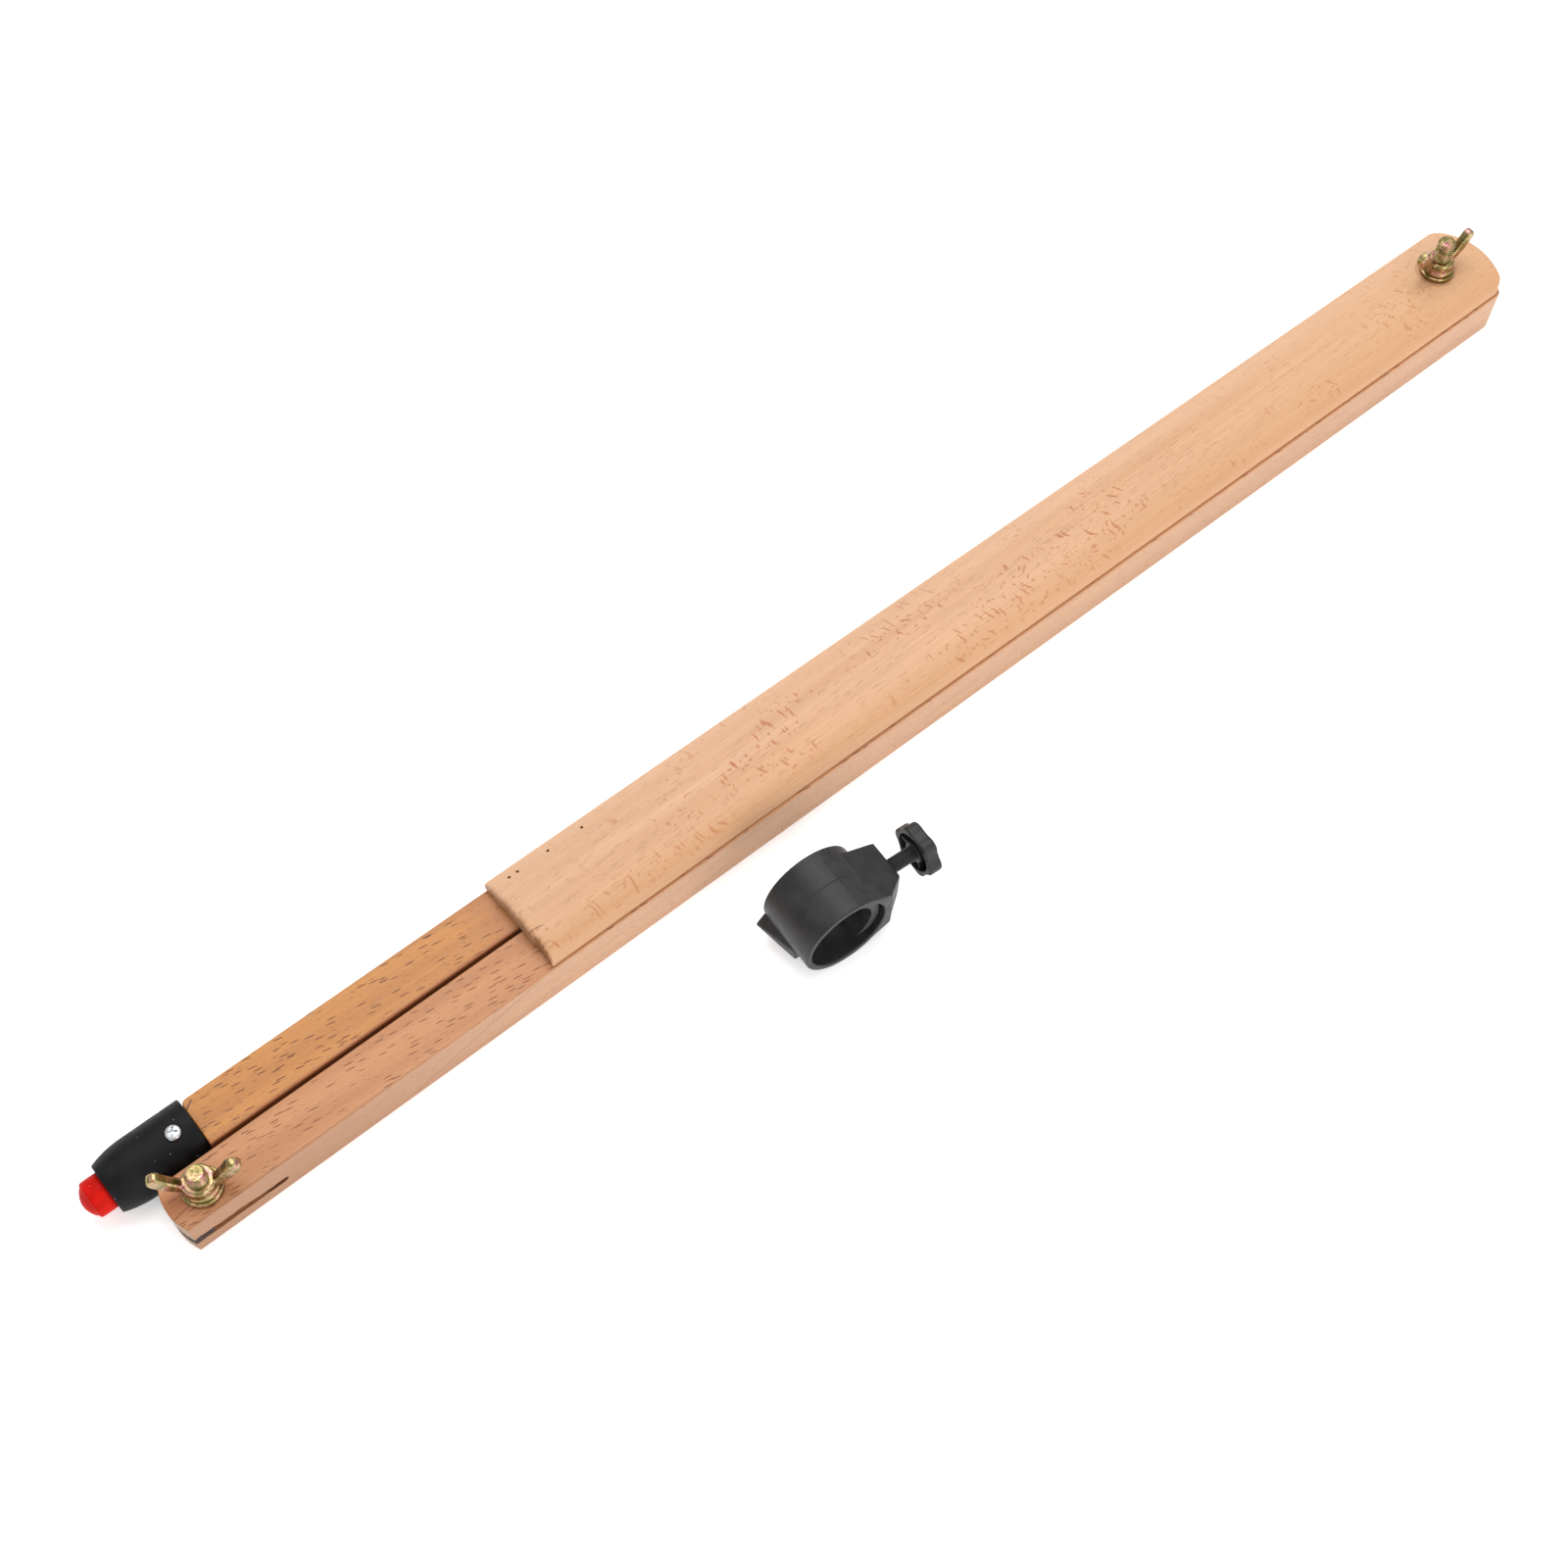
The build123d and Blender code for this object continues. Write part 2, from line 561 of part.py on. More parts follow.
# Ring screw: M5 stud moulded with a lobed, hollow-backed knob
with BuildPart() as ring_screw:
    with BuildSketch(stud_plane.offset(knob_near)):
        Circle(KNOB_CORE)
        with PolarLocations(KNOB_LOBE_RING, 6):
            Circle(KNOB_LOBE)
    extrude(amount=KNOB_THICK)
    with BuildSketch(stud_plane.offset(knob_near)):
        Circle(KNOB_RIM)
        Circle(KNOB_HUB, mode=Mode.SUBTRACT)
    extrude(amount=KNOB_POCKET, mode=Mode.SUBTRACT)
    with BuildSketch(stud_plane.offset(stud_tip)):
        Circle(STUD_RADIUS)
    extrude(amount=knob_near - stud_tip + 1.0)
ring_screw.part.label = "ring_screw"
export_step(ring_screw.part, "parts/ring_screw.step")
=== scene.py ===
# %% [markdown]
# # A large wooden compass, built piece by piece
#
# The tool is two beech legs joined by a wing-nut pivot under a cambered handle board. One leg ends in a
# black ferrule with a red rubber foot. The other is sawn down its end to make two jaws, drawn together by a
# second wing nut, and a loose black ring that holds a pen lies beside it.
#
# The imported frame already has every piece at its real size. Here each piece gets the surface that a hand
# would notice: eased arrises, threads, a saw kerf, moulding lines and the grain of the wood.

# %% Load the frame
import math

import bmesh
import bpy
import numpy as np
from mathutils import Matrix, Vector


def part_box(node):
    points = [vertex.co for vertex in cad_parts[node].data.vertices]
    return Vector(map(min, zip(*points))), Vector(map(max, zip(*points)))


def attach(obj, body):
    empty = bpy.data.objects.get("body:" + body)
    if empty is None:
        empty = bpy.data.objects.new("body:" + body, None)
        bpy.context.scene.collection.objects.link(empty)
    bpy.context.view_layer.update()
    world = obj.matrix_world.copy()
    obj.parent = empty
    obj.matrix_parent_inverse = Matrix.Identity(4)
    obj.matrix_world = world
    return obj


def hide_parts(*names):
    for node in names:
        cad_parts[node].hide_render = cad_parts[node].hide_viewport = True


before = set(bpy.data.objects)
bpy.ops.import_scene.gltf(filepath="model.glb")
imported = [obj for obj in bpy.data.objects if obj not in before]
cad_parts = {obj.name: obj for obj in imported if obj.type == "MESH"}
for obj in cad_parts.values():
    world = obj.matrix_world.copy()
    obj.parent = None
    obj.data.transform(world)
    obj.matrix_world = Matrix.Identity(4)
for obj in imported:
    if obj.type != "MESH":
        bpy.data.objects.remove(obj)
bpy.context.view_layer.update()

MM = 0.001

# %% [markdown]
# ## Reading sizes from the frame
#
# Blender works in metres, while a joiner thinks in millimetres. Every size below is in millimetres, and it
# becomes metres only when a mesh is made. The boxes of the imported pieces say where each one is.

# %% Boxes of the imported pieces, in millimetres
def low(node):
    """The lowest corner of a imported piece."""
    return np.array(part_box(node)[0]) / MM


def high(node):
    """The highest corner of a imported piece."""
    return np.array(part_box(node)[1]) / MM


LEG_TOP = high("clamp_leg")[2]
PIVOT = (low("pivot_washer") + high("pivot_washer"))[:2] / 2
CLAMP = (low("clamp_washer") + high("clamp_washer"))[:2] / 2
print("pivot at", PIVOT.round(2), "and clamp bolt at", CLAMP.round(2))

# %% [markdown]
# ## The camera
#
# A camera is a place and three directions. The viewing direction comes from an azimuth and an elevation, as
# a compass bearing and a dip would give it, and a small roll turns the picture about that direction. Writing
# the three directions as the columns of a matrix avoids any aiming constraint.

# %% Set up the camera
CAMERA_PLACE = (-0.27400, -0.24759, 0.56971)
CAMERA_BEARING = math.radians(48.593)
CAMERA_DIP = math.radians(59.416)
CAMERA_ROLL = math.radians(1.845)
CAMERA_LENS = 48.701


def camera_matrix(place, bearing, dip, roll):
    """Forward is (cos dip cos bearing, cos dip sin bearing, -sin dip); the level right and up are turned
    about it by the roll, and the columns are right, up and backward."""
    forward = np.array([
        math.cos(dip) * math.cos(bearing),
        math.cos(dip) * math.sin(bearing),
        -math.sin(dip),
    ])
    level_right = np.array([math.sin(bearing), -math.cos(bearing), 0.0])
    level_up = np.cross(level_right, forward)
    right = math.cos(roll) * level_right + math.sin(roll) * level_up
    up = math.cos(roll) * level_up - math.sin(roll) * level_right
    rows = [[right[k], up[k], -forward[k], place[k]] for k in range(3)]
    return Matrix(rows + [[0, 0, 0, 1]])


lens = bpy.data.cameras.new("camera")
lens.lens = CAMERA_LENS
lens.sensor_width = 36.0
lens.clip_start = 0.01
camera = bpy.data.objects.new("camera", lens)
bpy.context.scene.collection.objects.link(camera)
camera.matrix_world = camera_matrix(CAMERA_PLACE, CAMERA_BEARING, CAMERA_DIP, CAMERA_ROLL)
bpy.context.scene.camera = camera
bpy.context.scene.view_settings.view_transform = "Standard"
print("camera looks along", (-camera.matrix_world.to_3x3().col[2]).to_tuple(3))

# %% [markdown]
# ## Floor and light
#
# The tool lies on a white sweep under a large soft light, so that its shadows nearly disappear. A plain
# bright world does most of the work. A big lamp above and one low in front give the edges a little direction,
# and a darker band low in the world gives the metal something to reflect.

# %% Nodes by name
def add(tree, kind, sockets=None, **settings):
    """Adds a shader node, sets its options, and fills its sockets with values or with other nodes' outputs."""
    made = tree.nodes.new("ShaderNode" + kind)
    for key, value in settings.items():
        setattr(made, key, value)
    for socket, value in (sockets or {}).items():
        if isinstance(value, bpy.types.NodeSocket):
            tree.links.new(value, made.inputs[socket])
        else:
            made.inputs[socket].default_value = value
    return made


def mix(tree, share, first, second, way="MIX"):
    """One colour passing into another by a share from 0 to 1."""
    made = add(tree, "Mix", {0: share}, data_type="RGBA", blend_type=way)
    for socket, value in ((6, first), (7, second)):
        if isinstance(value, bpy.types.NodeSocket):
            tree.links.new(value, made.inputs[socket])
        else:
            made.inputs[socket].default_value = (*value, 1)
    return made.outputs[2]


def sums(tree, way, first, second=0.0, third=0.0):
    """Arithmetic on two or three numbers."""
    made = add(tree, "Math", {0: first, 1: second, 2: third}, operation=way)
    return made.outputs[0]


def darker(tone, share):
    """A tone with each of its parts multiplied by a share."""
    return tuple(part * share for part in tone)


def step(tree, value, start, stop, low_end=0.0, high_end=1.0):
    """A smooth rise from low_end to high_end as the value goes from start to stop."""
    sockets = {0: value, 1: start, 2: stop, 3: low_end, 4: high_end}
    return add(tree, "MapRange", sockets, interpolation_type="SMOOTHSTEP").outputs[0]


# %% Build the floor, the world and the lamps
FLOOR_HALF = 12.0
floor_mesh = bpy.data.meshes.new("floor")
floor_corners = [(-1, -1), (1, -1), (1, 1), (-1, 1)]
floor_mesh.from_pydata([(x * FLOOR_HALF, y * FLOOR_HALF, 0) for x, y in floor_corners], [], [(0, 1, 2, 3)])
floor = bpy.data.objects.new("floor", floor_mesh)
bpy.context.scene.collection.objects.link(floor)
sweep = bpy.data.materials.new("white_sweep")
sweep.use_nodes = True
sweep_shader = sweep.node_tree.nodes["Principled BSDF"]
sweep_shader.inputs["Base Color"].default_value = (0.97, 0.97, 0.97, 1)
sweep_shader.inputs["Roughness"].default_value = 0.9
sweep_shader.inputs["Specular IOR Level"].default_value = 0.0
sweep_shader.inputs["Emission Color"].default_value = (1, 1, 1, 1)
sweep_shader.inputs["Emission Strength"].default_value = 0.34
floor_mesh.materials.append(sweep)

world = bpy.data.worlds.new("studio")
world.use_nodes = True
bpy.context.scene.world = world
sky = world.node_tree
sky_way = add(sky, "TexCoord").outputs["Generated"]
sky_height = add(sky, "SeparateXYZ", {0: sky_way}).outputs[2]
sky_share = step(sky, sky_height, 0.05, 0.55)
sky_colour = mix(sky, sky_share, (0.42, 0.42, 0.43), (1.0, 1.0, 1.0))
sky.links.new(sky_colour, sky.nodes["Background"].inputs[0])
sky.nodes["Background"].inputs[1].default_value = 0.78


def lamp(name, place, target, size, power):
    """A square soft lamp at a place in metres, turned to face the target."""
    light = bpy.data.lights.new(name, "AREA")
    light.size = size
    light.energy = power
    made = bpy.data.objects.new(name, light)
    bpy.context.scene.collection.objects.link(made)
    made.location = place
    facing = Matrix.Translation(place).translation - Matrix.Translation(target).translation
    made.rotation_euler = facing.to_track_quat("Z", "Y").to_euler()
    return made


lamp("overhead_lamp", (0.35, 0.45, 1.5), (0.0, 0.0, 0.0), 1.3, 17.0)
lamp("front_lamp", (-0.05, -1.3, 0.55), (0.0, 0.0, 0.0), 0.8, 7.0)
print("floor, world and two lamps are ready")

# %% [markdown]
# ## Turning numbers into surfaces
#
# Nearly every piece is one grid of points: a shape worked out from two running numbers, with quads between
# neighbours. When one direction closes on itself the grid is a tube, and when both do it is a ring. These
# helpers make the quads, put them into a mesh, close the poles and turn the faces outwards.

# %% Grid, mesh and closing helpers
def grid_faces(rows, columns, close_rows=False, close_columns=True):
    """Quads between neighbouring points of a grid. Each direction may run round to its start."""
    row, column = np.meshgrid(
        np.arange(rows if close_rows else rows - 1),
        np.arange(columns if close_columns else columns - 1),
        indexing="ij",
    )
    next_row, next_column = (row + 1) % rows, (column + 1) % columns
    corners = [
        row * columns + column,
        row * columns + next_column,
        next_row * columns + next_column,
        next_row * columns + column,
    ]
    return np.stack(corners, -1).reshape(-1, 4)


def make_object(name, points, faces):
    """A closed mesh object from points in millimetres: doubles are merged and faces turned outwards."""
    mesh = bpy.data.meshes.new(name)
    mesh.from_pydata((np.asarray(points) * MM).tolist(), [], [list(map(int, face)) for face in faces])
    shell = bmesh.new()
    shell.from_mesh(mesh)
    bmesh.ops.remove_doubles(shell, verts=shell.verts, dist=2e-7)
    bmesh.ops.recalc_face_normals(shell, faces=shell.faces)
    shell.to_mesh(mesh)
    shell.free()
    made = bpy.data.objects.new(name, mesh)
    bpy.context.scene.collection.objects.link(made)
    return made


def apply_modifiers(piece):
    """Swaps the piece's mesh for what its modifiers make of it."""
    bpy.context.view_layer.update()
    seen = piece.evaluated_get(bpy.context.evaluated_depsgraph_get())
    made = bpy.data.meshes.new_from_object(seen)
    piece.modifiers.clear()
    piece.data = made


def combine(piece, other, operation):
    """Fuses another closed solid to the piece (UNION) or takes it away (DIFFERENCE), and removes the other."""
    step_made = piece.modifiers.new("combine", "BOOLEAN")
    step_made.operation = operation
    step_made.solver = "EXACT"
    step_made.object = other
    apply_modifiers(piece)
    bpy.data.objects.remove(other)
    return piece


def carve(piece, *cutters):
    """Takes each cutter's solid out of the piece."""
    for cutter in cutters:
        combine(piece, cutter, "DIFFERENCE")
    return piece


def finish_piece(piece, body, slot, finish, *nodes, crease=32.0, weighted=False):
    """Shades the piece smoothly up to the crease angle, gives it its finish, and hands it to its body."""
    piece.data.materials.clear()
    piece.data.materials.append(finish)
    piece.data.shade_smooth()
    piece.data.set_sharp_from_angle(angle=math.radians(crease))
    if weighted:
        even = piece.modifiers.new("even_shading", "WEIGHTED_NORMAL")
        even.keep_sharp = True
    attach(piece, body)
    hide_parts(*nodes)
    shell = bmesh.new()
    shell.from_mesh(piece.data)
    open_edges = sum(1 for edge in shell.edges if len(edge.link_faces) != 2)
    print(f"{piece.name}: {len(piece.data.vertices)} points, {open_edges} open edges, "
          f"volume {shell.calc_volume(signed=True) * 1e9:.1f} mm3")
    shell.free()
    return piece


# %% Curves in the plane
LINE_SPACING = 4.0


def around(columns):
    """Angles evenly round a circle."""
    return np.linspace(0, math.tau, columns, endpoint=False)


def circle(angle):
    """Points of the circle of radius 1 at these angles."""
    return np.stack([np.cos(angle), np.sin(angle)], -1)


def line(start, end):
    """Points evenly spaced from start to end."""
    start, end = np.array(start, float), np.array(end, float)
    count = max(2, int(np.ceil(np.linalg.norm(end - start) / LINE_SPACING)) + 1)
    share = np.linspace(0, 1, count)[:, None]
    return start + (end - start) * share


def arc(start, middle, end, count=24):
    """Points on the circle through three points, evenly spaced by angle from start to end."""
    a, b, c = (np.array(p, float) for p in (start, middle, end))
    matrix = 2 * np.array([b - a, c - a])
    centre = np.linalg.solve(matrix, [b @ b - a @ a, c @ c - a @ a])
    radius = np.linalg.norm(a - centre)
    turns = [math.atan2(*(p - centre)[::-1]) for p in (a, b, c)]
    to_middle, to_end = (turns[1] - turns[0]) % math.tau, (turns[2] - turns[0]) % math.tau
    if to_middle > to_end:
        to_end -= math.tau
    angle = turns[0] + to_end * np.linspace(0, 1, count)
    return centre + radius * circle(angle)


def ease_corner(before, corner, after, reach, count=7):
    """A soft corner: the quadratic curve that leaves one side at the reach and joins the other at the reach."""
    before, corner, after = (np.array(p, float) for p in (before, corner, after))
    start = corner + (before - corner) / np.linalg.norm(before - corner) * reach
    end = corner + (after - corner) / np.linalg.norm(after - corner) * reach
    t = np.linspace(0, 1, count)[:, None]
    return (1 - t) ** 2 * start + 2 * t * (1 - t) * corner + t ** 2 * end


def outline(*runs):
    """Joins runs of points into one closed outline, without repeated points, going round anticlockwise."""
    points = np.concatenate(runs)
    keep = np.linalg.norm(points - np.roll(points, 1, 0), axis=1) > 1e-4
    points = points[keep]
    x, y = points.T
    area = np.sum(x * np.roll(y, -1) - np.roll(x, -1) * y)
    return points if area > 0 else points[::-1]


# %% Slabs, drills and turned pieces
def eased_wall(z_low, z_high, radius):
    """Inset and height up a wall whose top and bottom arrises are quarter rounds of this radius."""
    t = np.linspace(0, math.pi / 2, 5)
    inset = radius * (1 - np.sin(t))
    rise = radius * (1 - np.cos(t))
    insets = np.concatenate([inset, inset[::-1]])
    heights = np.concatenate([z_low + rise, z_high - rise[::-1]])
    return insets, heights


def slab(name, shape, z_low, z_high, radius=0.0):
    """An outline carried up an eased wall: each point moves inward along its mitre by the wall's inset."""
    insets, heights = np.zeros(2), np.array([z_low, z_high])
    if radius:
        insets, heights = eased_wall(z_low, z_high, radius)
    into = shape - np.roll(shape, 1, 0)
    into /= np.linalg.norm(into, axis=1)[:, None]
    out_of = np.roll(into, -1, 0)
    first = np.stack([into[:, 1], -into[:, 0]], -1)
    second = np.stack([out_of[:, 1], -out_of[:, 0]], -1)
    mitre = (first + second) / (1 + np.sum(first * second, 1))[:, None]
    flat = shape[None] - insets[:, None, None] * mitre[None]
    z = np.broadcast_to(heights[:, None, None], (*flat.shape[:2], 1))
    points = np.concatenate([flat, z], -1).reshape(-1, 3)
    count = len(shape)
    faces = grid_faces(len(heights), count).tolist()
    faces.append(list(range(count))[::-1])
    faces.append(list(range((len(heights) - 1) * count, len(heights) * count)))
    return make_object(name, points, faces)


def drill(place, radius, z_low, z_high, sides=48):
    """A round cutter standing at a place in the plan."""
    return slab("drill", np.array(place)[:2] + radius * circle(around(sides)), z_low, z_high)


def square_cutter(place, side, z_low, z_high):
    """A square cutter standing at a place in the plan."""
    corners = np.array([(-1, -1), (1, -1), (1, 1), (-1, 1)]) * side / 2
    return slab("square_cutter", np.array(place)[:2] + corners, z_low, z_high)


def spun(radius, height, angle):
    """Points (r cos a, r sin a, h), where r and h may change both from row to row and round the circle."""
    radius, height, angle = np.broadcast_arrays(radius, height, angle)
    return np.stack([radius * np.cos(angle), radius * np.sin(angle), height], -1).reshape(-1, 3)


def set_in(points, origin, x_way, y_way, z_way):
    """Moves points from a piece's own directions to the frame: origin + x X + y Y + z Z."""
    return np.asarray(origin) + points @ np.array([x_way, y_way, z_way])


def rows(*pairs):
    """Radius and height, one row each, from (radius, height) pairs."""
    table = np.array(pairs, float)
    return table[:, :1], table[:, 1:]


def spin_parts(parts, angle):
    """Stacks rows of (radius, height), spreads each row round the circle, and gives the points and row count."""
    radius, height = (np.concatenate([part[k] + 0 * angle for part in parts]) for k in (0, 1))
    return spun(radius, height, angle), len(radius)


def standing(points, place):
    """Moves points made about the Z axis to a place in the plan."""
    return points + np.array([place[0], place[1], 0])


def move_points(piece, way):
    """Moves every point of a piece by a rule that takes and gives millimetres."""
    points = np.array([vertex.co for vertex in piece.data.vertices]) / MM
    piece.data.vertices.foreach_set("co", (way(points) * MM).ravel())


print("surface helpers are ready")

# %% [markdown]
# ## Beech
#
# Beech is a pale pinkish wood with hardly any figure. What one sees is fine straight fibre, short dark pore
# dashes where the fibre is cut along its length, and orange ray flecks where the wood happens to be cut close
# to radially. All three are the same idea: a pattern stretched along the grain. A noise stretched forty to
# one gives fibre. A cell pattern stretched twelve to one, cut off close to each cell's centre, gives dashes.
# Across a sawn end the stretch disappears by itself, because the pattern is solid and not a wrapped picture.

# %% Patterns measured in millimetres
def in_mm(tree):
    """The place on the piece in millimetres."""
    here = add(tree, "TexCoord").outputs["Object"]
    return add(tree, "VectorMath", {0: here, 3: 1000.0}, operation="SCALE").outputs[0]


def stretched(tree, mm, size, turn=0.0, start=(0.0, 0.0, 0.0)):
    """Coordinates turned in plan, then divided by a grain's size along X, Y and Z."""
    sockets = {1: start, 2: (0.0, 0.0, math.radians(turn)), 3: size, 0: mm}
    return add(tree, "Mapping", sockets, vector_type="TEXTURE").outputs[0]


def fibre(tree, mm, size, turn=0.0, detail=2.0, start=(0.0, 0.0, 0.0)):
    """Soft noise whose blotches have this size."""
    way = stretched(tree, mm, size, turn, start)
    return add(tree, "TexNoise", {"Vector": way, "Scale": 1.0, "Detail": detail}).outputs["Fac"]


def dashes(tree, mm, size, reach, turn=0.0, soft=0.35, start=(0.0, 0.0, 0.0), space="3D"):
    """Marks at scattered cell centres: 1 inside the reach, fading to 0 a little beyond it."""
    way = stretched(tree, mm, size, turn, start)
    cells = add(tree, "TexVoronoi", {"Vector": way, "Scale": 1.0}, voronoi_dimensions=space)
    near = cells.outputs["Distance"]
    return step(tree, near, reach * (1 - soft), reach, 1.0, 0.0)


def product(tree, *values):
    """Several shares multiplied together."""
    result = values[0]
    for value in values[1:]:
        result = sums(tree, "MULTIPLY", result, value)
    return result


def new_finish(name, **sockets):
    """A material with its shader's own sockets set, and its node tree."""
    made = bpy.data.materials.new(name)
    made.use_nodes = True
    shader = made.node_tree.nodes["Principled BSDF"]
    for socket, value in sockets.items():
        shader.inputs[socket.replace("_", " ")].default_value = value
    return made, made.node_tree, shader


def relief(tree, shader, height, depth_mm, strength=1.0):
    """Small relief from a height between 0 and 1, depth_mm deep."""
    sockets = {"Height": height, "Distance": depth_mm * MM, "Strength": strength}
    bump = add(tree, "Bump", sockets)
    tree.links.new(bump.outputs[0], shader.inputs["Normal"])


# %% The beech recipe
def beech(name, pale, deep, side, pore, turn, pore_share, fleck, fleck_share, roughness, marks=None):
    """Pale and deep tones in long soft bands, fine fibre, pore dashes, ray flecks, and a browner end grain.
    The side tone is for faces that look along Y. The marks function may add spots of its own."""
    finish, tree, shader = new_finish(name, Roughness=roughness)
    mm = in_mm(tree)
    bands = fibre(tree, mm, (190.0, 7.0, 11.0), turn * 0.25, 3.0)
    colour = mix(tree, step(tree, bands, 0.34, 0.68), pale, deep)
    facing = add(tree, "TexCoord").outputs["Normal"]
    facing = add(tree, "SeparateXYZ", {0: facing}).outputs
    to_side = step(tree, sums(tree, "ABSOLUTE", facing[1]), 0.55, 0.85)
    colour = mix(tree, to_side, colour, mix(tree, step(tree, bands, 0.3, 0.7), side, darker(side, 0.93)))
    threads = fibre(tree, mm, (26.0, 0.42, 0.42), turn * 0.25, 3.0)
    thread_tone = step(tree, threads, 0.25, 0.75, 0.90, 1.08)
    threads_grey = add(tree, "CombineColor", {0: thread_tone, 1: thread_tone, 2: thread_tone}).outputs[0]
    colour = mix(tree, 1.0, colour, threads_grey, "MULTIPLY")
    strands = fibre(tree, mm, (70.0, 1.7, 1.7), turn * 0.25, 2.0, (11.0, 3.0, 0.0))
    colour = mix(tree, step(tree, strands, 0.5, 0.8, 0.0, 0.22), colour, darker(deep, 0.8))
    crowding = fibre(tree, mm, (38.0, 3.4, 3.4), turn, 1.0, (5.0, 1.0, 2.0))
    to_top = step(tree, to_side, 0.0, 1.0, 1.0, 0.3)
    pores = dashes(tree, mm, (7.4, 0.78, 0.78), 0.26, turn, 0.40)
    pores = product(tree, pores, step(tree, crowding, 0.26, 0.40), to_top, pore_share)
    small = dashes(tree, mm, (3.6, 0.62, 0.62), 0.23, turn, 0.5, (3.3, 0.7, 0.2))
    small = product(tree, small, pore_share * 0.55)
    colour = mix(tree, small, colour, pore)
    colour = mix(tree, pores, colour, pore)
    if fleck_share:
        bend = add(tree, "TexNoise", {"Vector": mm, "Scale": 0.10, "Detail": 1.0}).outputs["Color"]
        bend = add(tree, "VectorMath", {0: bend, 1: (0.5, 0.5, 0.5)}, operation="SUBTRACT").outputs[0]
        bend = add(tree, "VectorMath", {0: bend, 3: 9.0}, operation="SCALE").outputs[0]
        bent = add(tree, "VectorMath", {0: mm, 1: bend}, operation="ADD").outputs[0]
        patches = fibre(tree, mm, (26.0, 11.0, 60.0), 0.0, 1.0, (4.0, 7.0, 1.0))
        crowded = product(tree, step(tree, patches, 0.47, 0.60), sums(tree, "SUBTRACT", 1.0, to_side))
        bars = dashes(tree, bent, (3.3, 17.0, 1.0), 0.15, 14.0, 0.6, space="2D")
        spots = dashes(tree, bent, (3.4, 3.0, 1.0), 0.19, 8.0, 0.6, (1.0, 2.0, 0.0), space="2D")
        colour = mix(tree, product(tree, bars, crowded, fleck_share), colour, fleck)
        colour = mix(tree, product(tree, spots, crowded, fleck_share * 0.8), colour, fleck)
    to_end = step(tree, sums(tree, "ABSOLUTE", facing[0]), 0.45, 0.9)
    cells = fibre(tree, mm, (3.0, 0.30, 0.30), 0.0, 3.0)
    end_tone = mix(tree, step(tree, cells, 0.35, 0.65), darker(side, 0.50), darker(side, 0.86))
    colour = mix(tree, to_end, colour, end_tone)
    if marks:
        colour = marks(tree, mm, colour)
    tree.links.new(colour, shader.inputs["Base Color"])
    worn = step(tree, threads, 0.2, 0.8, roughness - 0.05, roughness + 0.10)
    tree.links.new(worn, shader.inputs["Roughness"])
    height = sums(tree, "SUBTRACT", product(tree, threads, 0.45), product(tree, pores, 0.8))
    relief(tree, shader, height, 0.10, 0.55)
    return finish


# %% Marks that belong to one place
def ruler(tree, mm):
    """X, Y and Z of a place, in millimetres."""
    return add(tree, "SeparateXYZ", {0: mm}).outputs


def within(tree, value, start, stop, soft=0.2):
    """1 between start and stop, fading to 0 over the soft width outside them."""
    rise = step(tree, value, start - soft, start)
    fall = step(tree, value, stop, stop + soft, 1.0, 0.0)
    return product(tree, rise, fall)


def stain(tree, colour, tone, *shares):
    """The colour passing into the tone by the product of the shares."""
    return mix(tree, product(tree, *shares), colour, tone)


STROKE_FADE = 0.12


def stroke(tree, across, along, start, end, width):
    """A pencil-thin line from start to end, each an (along, across) pair: 1 on it and 0 away from it."""
    slope = (end[1] - start[1]) / (end[0] - start[0])
    ideal = sums(tree, "MULTIPLY_ADD", along, slope, start[1] - slope * start[0])
    gap = sums(tree, "ABSOLUTE", sums(tree, "SUBTRACT", across, ideal))
    on_line = step(tree, gap, width / 2, width / 2 + STROKE_FADE, 1.0, 0.0)
    return product(tree, on_line, within(tree, along, min(start[0], end[0]), max(start[0], end[0]), 1.0))


